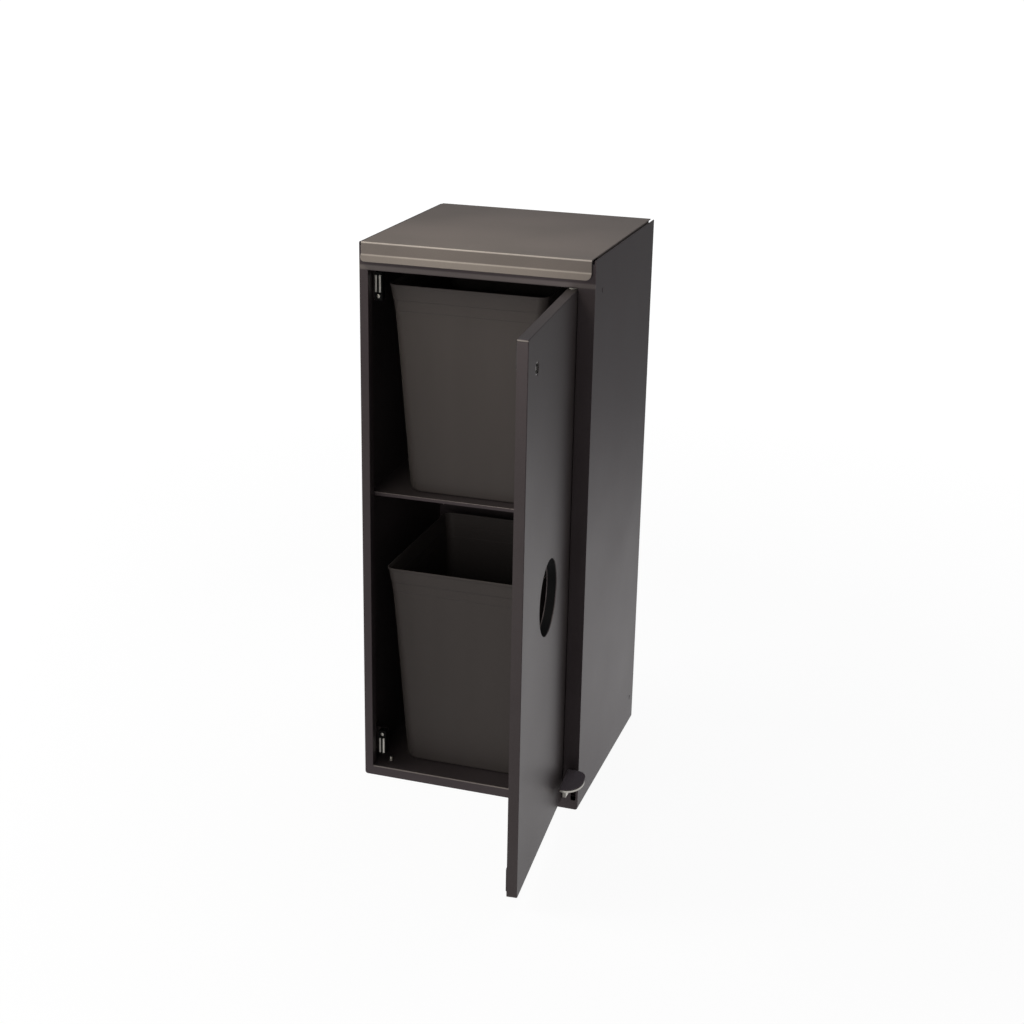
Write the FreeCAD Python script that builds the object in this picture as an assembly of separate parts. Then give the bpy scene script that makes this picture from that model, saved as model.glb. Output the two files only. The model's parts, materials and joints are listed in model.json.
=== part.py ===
import FreeCAD, Part
import os
from math import cos, hypot, radians, sin, sqrt, tan

# Dog waste bin: a sheet steel cabinet with a lid worked by a pedal, a key-locked door with a round
# hole for bags, and two loose inner bins.  Millimetres.  Shapes are drawn from the cabinet's lower
# front left corner: +X right, +Y back, +Z up.  On export they move to the centre of the base.

Vector = FreeCAD.Vector

# ---- cabinet ----
width = 400.0
depth = 386.0
side_height = 972.0
panel_t = 2.0            # side panel sheet
sheet_t = 1.5            # every other folded sheet
base_bend_r = 5.0        # bend where a side panel turns under the cabinet
flange_w = 18.0          # side panel's flange under the cabinet
rear_flange_w = 15.0     # side panel's flange behind the cabinet
back_below_rim = 17.0    # back panel's top edge below the side panels' top edges
frame_below_rim = 6.0
sill_h = 18.0            # front rail and floor, above the ground
top_rail_h = 40.0
left_stile_w = 15.0
right_stile_w = 28.5
frame_return = 15.0      # depth of the flanges round the door opening
frame_leg = 56.0         # depth of the frame's legs along the side panels
frame_shelf = 25.0       # depth of the frame's top flange, under the lid
opening_corner_r = 1.5   # opening corners on the hinge side
bend_r = 1.4             # bends that show
edge_r = 0.6             # broken sheet edges
rivet_r = 2.4
rivet_head_r = 4.0
rivet_head_h = 1.0
rivet_crown_r = 0.7
panel_rivet_front_y = 47.0
panel_rivet_below_opening = 10.0
panel_rivet_from_back = 24.0
panel_rivet_low_z = 53.0
back_rivet_count = 6
back_rivet_from_end = 60.0

# ---- fits and gaps ----
run_fit = 0.05           # radial gap of a turning or sliding fit
seat_gap = 0.3           # gap between faces that rub
loose_gap = 1.0          # gap beside a swinging piece

# ---- base ----
anchor_x = 260.0
anchor_y = 240.0
anchor_r = 5.5
stiffener_w = 50.0
stiffener_flange = 12.0
stiffener_end_gap = 4.0  # between the stiffener and the side panels' flanges
foot_inset_x = 38.0
foot_inset_y = 30.0
foot_pad_r = 15.0
foot_pad_h = 6.0
foot_pad_edge_r = 1.5
foot_stud_r = 4.0
stud_chamfer = 0.8
foot_stud_above = 8.0    # stud end above the floor
nut_h = 6.5
nut_flats = 13.0

# ---- shelf ----
shelf_top = 534.5
shelf_front = 25.0
shelf_hem = 6.0
shelf_hem_r = 1.2
shelf_flange = 18.0
shelf_rod_gap = 4.0      # round the push rod

# ---- door ----
door_t = 17.0
door_gap_hinge = 1.0
door_gap_free = 1.5
door_gap_bottom = 1.5
door_gap_top = 2.0
door_open_deg = 94.2
door_corner_r = 5.0
door_edge_r = 1.5
waste_hole_r = 63.0
waste_hole_z = 463.0
hole_ring_t = 1.2
hinge_pin_r = 4.0
hinge_pin_reach = 22.0
hinge_block_h = 30.0
hinge_block_r = 2.0
bush_wall = 1.5
bush_flange_r = 7.0
bush_flange_t = 1.2
pin_head_r = 6.0
pin_head_h = 3.0

# ---- lock ----
lock_from_edge = 58.0
lock_from_top = 56.0
lock_r = 10.8
lock_face_in = 0.8       # lock's face behind the door's face
lock_face_r = 0.6
lock_behind_door = 0.2
lock_hole_gap = 0.2
lock_recess_r = 8.0
lock_recess = 6.0
lock_shaft_r = 6.0
lock_drive_side = 9.0
lock_drive_in = 2.0      # end of the key drive behind the door's face
lock_nut_r = 14.0
lock_nut_half_flats = 12.0
lock_nut_t = 3.0
cam_gap = 0.5            # between the door's back and the cam
cam_t = 2.0
cam_w = 14.0
cam_corner_r = 5.0
cam_reach = 66.0
cam_stub_r = 4.0
cam_screw_r = 4.5
cam_screw_h = 1.8
cam_screw_shank_r = 2.0
cam_screw_reach = 6.0
screw_head_edge_r = 0.8

# ---- magnetic catches ----
catch_h = 47.0
catch_w = 14.0
catch_d = 13.5
catch_beside_stile = 2.5
catch_below_top = 7.0
catch_above_sill = 14.0
catch_corner_r = 1.5
catch_rivet_inset = 8.0  # from the back edge of the frame's leg
pole_w = 3.5
pole_edge_r = 0.5
pole_h = 29.0
pole_from_end = 4.0
pole_proud = 2.2
magnet_margin = 2.0
catch_screw_from_end = 7.0
catch_screw_r = 1.75
catch_screw_head_r = 3.2
catch_screw_head_h = 1.5
strike_h = 41.0
strike_corner_r = 2.0
strike_screw_inset = 3.2
strike_screw_r = 1.2
strike_screw_head_r = 2.4
strike_screw_reach = 4.0

# ---- lid ----
lid_side_gap = 5.4       # from the outside of the cabinet to the lid's edge
lid_rise = 1.9           # lid top above the side panels
lid_front = 6.0          # front flange ahead of the cabinet's face
lid_drop = 20.4          # height of the front flange
lip_out = 8.0
lip_drop = 10.5
lip_corner_r = 9.0
lid_bend_r = 1.8
lid_side_bend_r = 1.2
lid_flange = 12.0
lid_flange_front = 30.0
lid_open_deg = 65.0
buffer_r = 6.0
buffer_edge_r = 1.0
buffer_inset = 60.0
knuckle_r = 3.0
lid_pin_r = 1.5
lid_hinge_inset = 30.0
knuckle_count = 11
knuckle_gap = 0.4
leaf_drop = 39.0
leaf_reach = 34.0
lid_behind_pin = 2.0
leaf_rivet_count = 4
leaf_rivet_from_end = 30.0

# ---- pedal, push rod and crank ----
pedal_deg = 10.5
pedal_pivot_y = 190.0
pedal_pivot_z = 68.0
pedal_tilt_deg = 10.0
pedal_top_z = 81.0
pedal_air = 0.6          # between the pedal plate, pressed down, and the cabinet's face
pedal_r = 29.5
pedal_left_in = 18.5     # plate's left edge from the cabinet's right side
pedal_stub = 7.5         # straight length beside the round part of the plate
pedal_plate_t = 4.0
pedal_plate_corner_r = 3.0
pedal_pad_t = 2.0
pedal_pad_corner_r = 2.5
pedal_pad_margin = 1.0
lever_t = 6.0
lever_right_in = 11.5    # lever's left face from the cabinet's right side
lever_h = 18.0           # depth of the lever at its pivot and behind it
lever_below = 12.0       # bottom edge below the pivot's height, ahead of the pivot
lever_nose_h = 10.0      # depth at the lever's front end, under the pedal plate
lever_nose_in = 3.0      # front end behind the plate's front edge
lever_bend_y = 30.0      # end of the level stretch behind the cabinet's face
lever_tail = 7.0         # beyond the push rod
lever_hub_r = 12.0
pivot_pin_r = 4.0
pivot_bush_wall = 2.0
pivot_bush_flange_t = 1.4
pivot_bush_flange_r = 9.0
bracket_t = 2.0
bracket_half = 15.0
bracket_above = 14.0     # ears above the pivot
bracket_ear_r = 8.0
bracket_foot_w = 20.0
slot_gap = 4.0           # below the lever where it passes the stile
slot_side_gap = 1.5
slot_corner_r = 2.0
rod_r = 3.0
rod_right_gap = 17.0     # rod's axis from the cabinet's right side
rod_bend_r = 6.0
low_peg_out = 1.5        # rod's lower end past the lever
high_peg_out = 2.5       # rod's upper end past the crank
crank_t = 2.0
crank_foot_w = 14.0
crank_gap = 1.0          # between the rod and the crank plate
crank_wall = 4.5
peg_side_gap = 1.0       # beside the rod's upper end in the crank's slot
peg_end_gap = 0.6
lever_slot_gap = 0.5
guide_t = 4.0
guide_wall = 5.0
guide_foot_h = 30.0
lower_guide_z = 140.0
upper_guide_below_rim = 92.0

# ---- inner bins ----
bin_left = 37.0          # upper rim from the cabinet's outer left side
bin_right_gap = 86.0     # upper rim to the cabinet's outer right side
lower_bin_aside = 7.0    # lower bin stands this much further left
bin_front = 27.0
bin_back_gap = 49.0
upper_bin_gap = 26.5     # rim below the top of the door opening
lower_bin_gap = 5.0      # rim below the waste hole
bin_taper = 21.0         # each side, from rim to base
bin_wall = 2.5
bin_rim_r = 16.0
bin_base_r = 34.0
bin_band_h = 28.0
bin_band_out = 1.2
bin_lip_h = 4.0
bin_lip_out = 2.0

# ---- worked out from the above ----
frame_top = side_height - frame_below_rim
back_height = side_height - back_below_rim
opening_top = frame_top - top_rail_h
opening_left = left_stile_w
opening_right = width - right_stile_w
door_left = opening_left + door_gap_free
door_right = opening_right - door_gap_hinge
door_bottom = sill_h + door_gap_bottom
door_top = opening_top - door_gap_top
hinge_x = door_right - door_t / 2
hinge_y = door_t / 2
hinge_block = door_t - 2 * sheet_t
lock_x = door_left + lock_from_edge
lock_z = door_top - lock_from_top
catch_x = opening_left + catch_beside_stile
catch_top_z = opening_top - catch_below_top
catch_bottom_z = sill_h + catch_above_sill
catch_rivet_y = frame_leg - catch_rivet_inset
panel_rivet_top_z = opening_top - panel_rivet_below_opening
panel_rivet_back_y = depth - panel_rivet_from_back
lid_top = side_height + lid_rise
lid_under = lid_top - sheet_t
back_inside = depth - panel_t - sheet_t
lid_axis_y = back_inside - knuckle_r
lid_axis_z = lid_under - knuckle_r - knuckle_gap
pole_front = door_t + sheet_t + seat_gap
catch_front = pole_front + pole_proud
half_lid_deg = 0.5 * lid_open_deg      # crank below level at rest, and above level when open
half_pedal_deg = 0.5 * pedal_deg       # the same for the lever's rear arm
pedal_left_x = width - pedal_left_in
lever_x = width - lever_right_in
rod_x = width - rod_right_gap
upper_guide_z = side_height - upper_guide_below_rim
bin_w = width - bin_left - bin_right_gap
bin_d = depth - bin_front - bin_back_gap
upper_bin_h = opening_top - upper_bin_gap - shelf_top
lower_bin_h = waste_hole_z - waste_hole_r - lower_bin_gap - sill_h


def crank_throw(arm):
    """Distance from the lid's hinge to the rod's upper end, for a given rear arm of the lever."""
    return arm * tan(radians(half_pedal_deg)) / sin(radians(half_lid_deg))


# the rod stands below the crank: arm + throw * cos(half lid angle) = lid_axis_y - pedal_pivot_y
crank_share = tan(radians(half_pedal_deg)) / tan(radians(half_lid_deg))
rear_arm = (lid_axis_y - pedal_pivot_y) / (1 + crank_share)
throw = crank_throw(rear_arm)
rod_y = pedal_pivot_y + rear_arm
rod_low_z = pedal_pivot_z - rear_arm * tan(radians(half_pedal_deg))
rod_high_z = lid_axis_z - throw * sin(radians(half_lid_deg))
rod_lift = 2 * rear_arm * tan(radians(half_pedal_deg))

# the plate's lower back edge swings towards the cabinet as the pedal goes down
pedal_stack = pedal_plate_t + pedal_pad_t
edge_z = pedal_top_z - pedal_stack * cos(radians(pedal_tilt_deg)) - pedal_pivot_z
edge_y = pedal_pivot_y + (edge_z * sin(radians(pedal_deg)) - pedal_air - pedal_pivot_y) / cos(
    radians(pedal_deg))
pedal_clear = pedal_stack * sin(radians(pedal_tilt_deg)) - edge_y


# ---------------------------------------------------------------- helpers
# A cutter runs 1 mm past each face that it goes through.
def box(x0, x1, y0, y1, z0, z1):
    return Part.makeBox(x1 - x0, y1 - y0, z1 - z0, Vector(x0, y0, z0))


def rod_along(axis, r, x, y, z, length):
    """A cylinder that starts at x, y, z and runs along +X, +Y or +Z."""
    way = {"x": Vector(1, 0, 0), "y": Vector(0, 1, 0), "z": Vector(0, 0, 1)}[axis]
    return Part.makeCylinder(r, length, Vector(x, y, z), way)


def joined(shapes):
    return shapes[0].multiFuse(shapes[1:]).removeSplitter()


def side_profile(points, x0, x1):
    """A closed outline in Y and Z, carried from x0 to x1."""
    ring = [Vector(x0, y, z) for y, z in points]
    face = Part.Face(Part.makePolygon(ring + ring[:1]))
    return face.extrude(Vector(x1 - x0, 0, 0))


def hexagon(flats, x, y, z, height):
    r = flats / sqrt(3)
    ring = [Vector(x + r * cos(radians(60 * i)), y + r * sin(radians(60 * i)), z) for i in range(7)]
    return Part.Face(Part.makePolygon(ring)).extrude(Vector(0, 0, height))


def fillet_where(shape, radius, wanted):
    """Rounds the edges for which wanted(middle, length) holds."""
    edges = [e for e in shape.Edges if wanted(e.BoundBox, e.Length)]
    return shape.makeFillet(radius, edges)


def near(value, target, slack=0.01):
    return abs(value - target) < slack


def runs_at(box_, **at):
    """True where an edge's box is flat at each of the named values, such as XMin=0, XMax=0."""
    return all(near(getattr(box_, key), value) for key, value in at.items())


def mirrored_x(shape):
    return shape.mirror(Vector(width / 2, 0, 0), Vector(1, 0, 0))


def opened(shape):
    """Turns a door piece from closed to the open position in which it rests."""
    turned = shape.copy()
    turned.rotate(Vector(hinge_x, hinge_y, 0), Vector(0, 0, 1), door_open_deg)
    return turned


def envelope():
    """The space inside the two bends where the side panels turn under."""
    block = box(0, width, -1, depth + 1, 0, side_height + 1)
    return fillet_where(block, base_bend_r, lambda b, n: near(b.ZMax, 0) and near(n, depth + 2))


# ---------------------------------------------------------------- cabinet
def side_panel():
    plate = box(0, panel_t, 0, depth, 0, side_height)
    foot = box(0, panel_t + flange_w, sheet_t + seat_gap, depth, 0, panel_t)
    rear = box(0, panel_t + rear_flange_w, depth - panel_t, depth, 0, back_height)
    solid = joined([plate, foot, rear]).common(envelope())
    solid = fillet_where(solid, bend_r,
                         lambda b, n: runs_at(b, XMax=0, YMin=depth) and n > back_height / 2)
    return fillet_where(solid, edge_r, lambda b, n: near(b.ZMin, side_height) and n > depth / 2)


def panel_rivet_places():
    return [(panel_rivet_front_y, panel_rivet_top_z), (panel_rivet_back_y, panel_rivet_low_z)]


def panel_rivet_holes(x0, length):
    return [rod_along("x", rivet_r, x0, y, z, length) for y, z in panel_rivet_places()]


def left_panel():
    return side_panel().cut(Part.Compound(panel_rivet_holes(-1, panel_t + 2) + back_rivet_shanks()))


def right_panel():
    return mirrored_x(left_panel())


def panel_rivets():
    """Flat-headed rivets: frame leg at the top front, corner angle or rod guide at the low back."""
    left = []
    for y, z in panel_rivet_places():
        shank = rod_along("x", rivet_r, 0, y, z, panel_t + sheet_t)
        head = rod_along("x", rivet_head_r, -0.5 * rivet_head_h, y, z, 0.5 * rivet_head_h)
        left.append(joined([shank, head]))
    return Part.Compound(left + [mirrored_x(s) for s in left])


def corner_angle():
    """Short angle that ties the left panel to the back panel, low down."""
    size = depth - panel_t - sheet_t - panel_rivet_back_y + 2 * rivet_head_r
    x0 = panel_t
    y1 = back_inside
    low = panel_rivet_low_z - size
    high = panel_rivet_low_z + size
    leg = box(x0, x0 + sheet_t, y1 - size, y1, low, high)
    foot = box(x0, x0 + size, y1 - sheet_t, y1, low, high)
    hole = rod_along("x", rivet_r, x0 - 1, panel_rivet_back_y, panel_rivet_low_z, sheet_t + 2)
    return joined([leg, foot]).cut(hole)


def back_rivet_places():
    step = (back_height - 2 * back_rivet_from_end) / (back_rivet_count - 1)
    xs = [panel_t + rear_flange_w / 2, width - panel_t - rear_flange_w / 2]
    return [(x, back_rivet_from_end + step * i) for x in xs for i in range(back_rivet_count)]


def back_panel():
    plate = box(panel_t, width - panel_t, back_inside, depth - panel_t, panel_t, back_height)
    return plate.cut(Part.Compound(leaf_rivet_shanks() + back_rivet_shanks()))


def back_rivet_shanks():
    return [rod_along("y", rivet_r, x, back_inside, z, sheet_t + panel_t)
            for x, z in back_rivet_places()]


def back_rivets():
    """Through the rear flanges and the back panel, heads outside."""
    crown = depth + rivet_head_h
    rivets = []
    for (x, z), shank in zip(back_rivet_places(), back_rivet_shanks()):
        head = rod_along("y", rivet_head_r, x, depth, z, rivet_head_h)
        head = fillet_where(head, rivet_crown_r, lambda b, n: runs_at(b, YMin=crown, YMax=crown))
        rivets.append(joined([head, shank]))
    return Part.Compound(rivets)


def opening_cutter(y0, y1):
    block = box(opening_left, opening_right, y0, y1, sill_h, opening_top)
    return fillet_where(block, opening_corner_r,
                        lambda b, n: near(b.XMin, opening_right) and near(n, y1 - y0))


def pedal_slot():
    """Where the lever passes the right stile, over the whole of its travel."""
    turn = radians(pedal_deg)
    low = pedal_pivot_z - pedal_pivot_y * sin(turn) - lever_below - slot_gap
    high = pedal_top_z - pedal_plate_t + loose_gap
    x0 = lever_x - slot_side_gap
    x1 = lever_x + lever_t + slot_side_gap
    block = box(x0, x1, -1, sheet_t + 1, low, high)
    return fillet_where(block, slot_corner_r, lambda b, n: near(n, sheet_t + 2))


def front_frame():
    x0 = panel_t
    x1 = width - panel_t
    face = box(x0, x1, 0, sheet_t, 0, frame_top).common(envelope())
    face = face.cut(opening_cutter(-1, sheet_t + 1))
    back = sheet_t + frame_return
    left = box(opening_left - sheet_t, opening_left, 0, back, sill_h, opening_top)
    low = box(opening_left - sheet_t, opening_right, 0, back, sill_h - sheet_t, sill_h)
    high = box(opening_left - sheet_t, opening_right, 0, back, opening_top, opening_top + sheet_t)
    legs = [box(x0, x0 + sheet_t, 0, frame_leg, sill_h, frame_top),
            box(x1 - sheet_t, x1, 0, frame_leg, sill_h, frame_top)]
    top = box(x0, x1, 0, sheet_t + frame_shelf, frame_top - sheet_t, frame_top)
    solid = joined([face, left, low, high, top] + legs)
    solid = fillet_where(solid, bend_r, frame_bend)
    pins = [rod_along("z", hinge_pin_r, hinge_x, hinge_y, z, 2 * sheet_t)
            for z in (sill_h - 1.5 * sheet_t, opening_top - 0.5 * sheet_t)]
    rivets = [rod_along("x", rivet_r, 0, panel_rivet_front_y, panel_rivet_top_z, width)]
    return solid.cut(Part.Compound(pins + rivets + [pedal_slot()] + catch_tab_holes()))


def frame_bend(b, length):
    """The straight front edges of the left, lower and upper sides of the opening, and the top."""
    flat = near(b.YMin, 0) and near(b.YMax, 0) and length > 100
    upright = near(b.XMin, opening_left) and near(b.XMax, opening_left)
    level = near(b.ZMin, b.ZMax) and any(near(b.ZMin, z) for z in (sill_h, opening_top, frame_top))
    return flat and (upright or level)


def catch_tab_holes():
    """Rivet holes for the catch brackets in the frame's left leg."""
    return [rod_along("x", rivet_r, 0, catch_rivet_y, z0 + catch_h / 2, 3 * panel_t)
            for z0 in (catch_bottom_z, catch_top_z - catch_h)]


def anchor_places():
    return [(width / 2 + sx * anchor_x / 2, depth / 2 + sy * anchor_y / 2)
            for sx in (-1, 1) for sy in (-1, 1)]


def foot_places():
    return [(x, y) for x in (foot_inset_x, width - foot_inset_x)
            for y in (foot_inset_y, depth - foot_inset_y)]


def floor_panel():
    x0 = panel_t
    x1 = width - panel_t
    y0 = sheet_t + frame_return
    y1 = back_inside
    sheet = box(x0, x1, y0, y1, sill_h - sheet_t, sill_h)
    sides = [box(x0, x0 + sheet_t, y0, y1, panel_t, sill_h),
             box(x1 - sheet_t, x1, y0, y1, panel_t, sill_h),
             box(x0, x1, y1 - sheet_t, y1, panel_t, sill_h)]
    solid = joined([sheet] + sides)
    holes = [rod_along("z", anchor_r, x, y, 0, 2 * sill_h) for x, y in anchor_places()]
    holes += [rod_along("z", foot_stud_r + run_fit, x, y, 0, 2 * sill_h) for x, y in foot_places()]
    return solid.cut(Part.Compound(holes))


def floor_stiffener():
    """Hat section under the middle of the floor, down to the ground."""
    x0 = panel_t + flange_w + stiffener_end_gap
    y0 = depth / 2 - stiffener_w / 2
    y1 = depth / 2 + stiffener_w / 2
    z1 = sill_h - sheet_t
    points = [(y0, 0), (y1, 0), (y1, z1 - sheet_t), (y1 + stiffener_flange, z1 - sheet_t),
              (y1 + stiffener_flange, z1), (y1 - sheet_t, z1), (y1 - sheet_t, sheet_t),
              (y0 + sheet_t, sheet_t), (y0 + sheet_t, z1), (y0 - stiffener_flange, z1),
              (y0 - stiffener_flange, z1 - sheet_t), (y0, z1 - sheet_t)]
    return side_profile(points, x0, width - x0)


def levelling_feet():
    feet = []
    stud_top = sill_h + foot_stud_above
    for x, y in foot_places():
        pad = rod_along("z", foot_pad_r, x, y, 0, foot_pad_h)
        pad = fillet_where(pad, foot_pad_edge_r, lambda b, n: runs_at(b, ZMin=foot_pad_h, ZMax=foot_pad_h))
        stud = rod_along("z", foot_stud_r, x, y, foot_pad_h, stud_top - foot_pad_h)
        stud = stud.makeChamfer(stud_chamfer, [e for e in stud.Edges if near(e.BoundBox.ZMin, stud_top)])
        feet.append(joined([pad, stud]))
    return Part.Compound(feet)


def foot_nuts():
    nuts = []
    z0 = sill_h - sheet_t - nut_h
    for x, y in foot_places():
        bore = rod_along("z", foot_stud_r + run_fit, x, y, z0 - 1, nut_h + 2)
        nuts.append(hexagon(nut_flats, x, y, z0, nut_h).cut(bore))
    return Part.Compound(nuts)


def shelf():
    x0 = panel_t
    x1 = width - panel_t
    z0 = shelf_top - sheet_t
    sheet = box(x0, x1, shelf_front, back_inside, z0, shelf_top)
    leg_gap = box(x0, x0 + sheet_t, 0, frame_leg, z0 - 1, shelf_top + 1)
    sheet = sheet.cut(leg_gap).cut(mirrored_x(leg_gap))
    hem = box(x0 + sheet_t, x1 - sheet_t, shelf_front, shelf_front + sheet_t, shelf_top - shelf_hem,
              shelf_top)
    sides = [box(x0, x0 + sheet_t, frame_leg + loose_gap, back_inside, z0 - shelf_flange, shelf_top),
             box(x1 - sheet_t, x1, frame_leg + loose_gap, back_inside, z0 - shelf_flange, shelf_top)]
    solid = joined([sheet, hem] + sides)
    solid = fillet_where(solid, shelf_hem_r, lambda b, n: runs_at(b, YMax=shelf_front, ZMin=shelf_top))
    half = rod_r + shelf_rod_gap
    notch = box(rod_x - half, rod_x + half, rod_y - half, depth, z0 - 1, shelf_top + 1)
    return solid.cut(notch)


# ---------------------------------------------------------------- catches
def catch_piece(build, upper):
    """Runs build for the lower catch, or turns it over for the upper one."""
    shape = build()
    if not upper:
        return shape
    middle = (catch_bottom_z + catch_top_z) / 2
    return shape.mirror(Vector(0, 0, middle), Vector(0, 0, 1))


def catch_bracket():
    y0 = catch_front + catch_d
    z0 = catch_bottom_z
    x0 = panel_t + sheet_t
    tab = box(x0, catch_x + catch_w, y0, y0 + sheet_t, z0, z0 + catch_h)
    leg = box(x0, x0 + sheet_t, y0, frame_leg, z0, z0 + catch_h)
    holes = [rod_along("x", rivet_r, 0, catch_rivet_y, z0 + catch_h / 2, 3 * panel_t),
             rod_along("y", catch_screw_r, catch_x + catch_w / 2, y0 - 1,
                       z0 + catch_h - catch_screw_from_end, sheet_t + 2)]
    return joined([tab, leg]).cut(Part.Compound(holes))


def pole_boxes(y0):
    middle = catch_x + catch_w / 2
    z0 = catch_bottom_z + pole_from_end
    back = catch_front + catch_d - magnet_margin
    starts = [middle - 1.5 * pole_w, middle + 0.5 * pole_w]
    return [box(x, x + pole_w, y0, back, z0, z0 + pole_h) for x in starts]


def magnet_box():
    middle = catch_x + catch_w / 2
    z0 = catch_bottom_z + pole_from_end + magnet_margin
    return box(middle - pole_w / 2, middle + pole_w / 2, catch_front + magnet_margin,
               catch_front + catch_d - magnet_margin, z0, z0 + pole_h - 2 * magnet_margin)


def catch_housing():
    z0 = catch_bottom_z
    block = box(catch_x, catch_x + catch_w, catch_front, catch_front + catch_d, z0, z0 + catch_h)
    block = fillet_where(block, catch_corner_r, lambda b, n: near(n, catch_d))
    screw = rod_along("y", catch_screw_r + lock_hole_gap, catch_x + catch_w / 2, 0,
                      z0 + catch_h - catch_screw_from_end, depth / 2)
    return block.cut(Part.Compound(pole_boxes(pole_front) + [magnet_box(), screw]))


def catch_poles():
    return Part.Compound([fillet_where(p, pole_edge_r,
                                       lambda b, n: runs_at(b, YMin=pole_front, YMax=pole_front))
                          for p in pole_boxes(pole_front)])


def catch_screw():
    x = catch_x + catch_w / 2
    z = catch_bottom_z + catch_h - catch_screw_from_end
    head = rod_along("y", catch_screw_head_r, x, catch_front - catch_screw_head_h, z,
                     catch_screw_head_h)
    head = fillet_where(head, screw_head_edge_r, lambda b, n: near(b.YMax, catch_front - catch_screw_head_h))
    shank = rod_along("y", catch_screw_r, x, catch_front, z, catch_d + sheet_t)
    return joined([head, shank])


def catch_rivet():
    x0 = panel_t
    z = catch_bottom_z + catch_h / 2
    shank = rod_along("x", rivet_r, x0, catch_rivet_y, z, 2 * sheet_t)
    head = rod_along("x", rivet_head_r, x0 + 2 * sheet_t, catch_rivet_y, z, rivet_head_h)
    return joined([shank, head])


def catch_fasteners():
    lower = [catch_screw(), catch_rivet()]
    upper = [catch_piece(catch_screw, True), catch_piece(catch_rivet, True)]
    return Part.Compound(lower + upper)


# ---------------------------------------------------------------- door, drawn closed
def door_corners(b, length):
    """The four corner edges of the pan that run from front to back."""
    return near(length, door_t) and (near(b.ZMin, door_bottom) or near(b.ZMax, door_top))


def door_panel():
    outer = box(door_left, door_right, 0, door_t, door_bottom, door_top)
    outer = fillet_where(outer, door_corner_r, door_corners)
    outer = fillet_where(outer, door_edge_r, lambda b, n: near(b.YMin, 0) and near(b.YMax, 0))
    t = sheet_t
    inner = box(door_left + t, door_right - t, t, door_t + 1, door_bottom + t, door_top - t)
    inner = fillet_where(inner, door_corner_r - t, lambda b, n: near(n, door_t + 1 - t))
    pins = [rod_along("z", hinge_pin_r + bush_wall, hinge_x, hinge_y, z, 2 * t)
            for z in (door_bottom - 0.5 * t, door_top - 1.5 * t)]
    return outer.cut(Part.Compound([inner, waste_hole(-1, t + 2), lock_hole(-1, t + 2)] + pins))


def waste_hole(y0, length):
    return rod_along("y", waste_hole_r, (door_left + door_right) / 2, y0, waste_hole_z, length)


def lock_hole(y0, length):
    return rod_along("y", lock_r + lock_hole_gap, lock_x, y0, lock_z, length)


def door_back_plate():
    t = sheet_t
    y0 = door_t - t
    plate = box(door_left + t, door_right - t, y0, door_t, door_bottom + t, door_top - t)
    plate = fillet_where(plate, door_corner_r - t, lambda b, n: near(n, t))
    cuts = [waste_hole(y0 - 1, t + 2), lock_hole(y0 - 1, t + 2)] + strike_screw_shanks()
    return plate.cut(Part.Compound(cuts))


def door_hole_ring():
    length = door_t - 2 * sheet_t
    x = (door_left + door_right) / 2
    outer = rod_along("y", waste_hole_r + hole_ring_t, x, sheet_t, waste_hole_z, length)
    return outer.cut(waste_hole(0, door_t))


def hinge_block_at(z0):
    x0 = hinge_x - hinge_block / 2
    y0 = hinge_y - hinge_block / 2
    block = box(x0, x0 + hinge_block, y0, y0 + hinge_block, z0, z0 + hinge_block_h)
    block = fillet_where(block, hinge_block_r, lambda b, n: near(n, hinge_block_h))
    bore = rod_along("z", hinge_pin_r + bush_wall, hinge_x, hinge_y, z0 - 1, hinge_block_h + 2)
    return block.cut(bore)


def lower_hinge_block():
    return hinge_block_at(door_bottom + door_corner_r)


def upper_hinge_block():
    return hinge_block_at(door_top - door_corner_r - hinge_block_h)


def lower_hinge_bush():
    """Flanged bush in the foot of the door; its flange carries the door's weight."""
    z0 = door_bottom - bush_flange_t
    tube = rod_along("z", hinge_pin_r + bush_wall, hinge_x, hinge_y, z0, hinge_pin_reach)
    flange = rod_along("z", bush_flange_r, hinge_x, hinge_y, z0, bush_flange_t)
    bore = rod_along("z", hinge_pin_r + run_fit, hinge_x, hinge_y, z0 - 1, hinge_pin_reach + 2)
    return joined([tube, flange]).cut(bore)


def upper_hinge_bush():
    middle = (door_bottom + door_top) / 2
    return lower_hinge_bush().mirror(Vector(0, 0, middle), Vector(0, 0, 1))


def hinge_pin(sheet_z, up):
    """Headed pin in the frame's flange that starts at sheet_z, pointing into the door."""
    reach = sheet_t + hinge_pin_reach
    z0 = sheet_z if up else sheet_z + sheet_t - reach
    head_z = sheet_z - pin_head_h if up else sheet_z + sheet_t
    shaft = rod_along("z", hinge_pin_r, hinge_x, hinge_y, z0, reach)
    head = rod_along("z", pin_head_r, hinge_x, hinge_y, head_z, pin_head_h)
    return joined([shaft, head])


def strike_places():
    """Lower corner of each strike plate, opposite the poles of its catch."""
    x = catch_x
    pole_mid = catch_bottom_z + pole_from_end + pole_h / 2
    upper_mid = catch_bottom_z + catch_top_z - pole_mid
    return [(x, pole_mid - strike_h / 2), (x, upper_mid - strike_h / 2)]


def strike_screw_places(place):
    x, z = place
    return [(x + catch_w / 2, z + strike_screw_inset), (x + catch_w / 2, z + strike_h - strike_screw_inset)]


def strike_screw_shanks():
    length = sheet_t + strike_screw_reach
    return [rod_along("y", strike_screw_r, x, door_t - length, z, length)
            for place in strike_places() for x, z in strike_screw_places(place)]


def strike_plate(place):
    x, z = place
    plate = box(x, x + catch_w, door_t, door_t + sheet_t, z, z + strike_h)
    plate = fillet_where(plate, strike_corner_r, lambda b, n: near(n, sheet_t))
    return plate.cut(Part.Compound([countersunk(sx, sz) for sx, sz in strike_screw_places(place)]))


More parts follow.
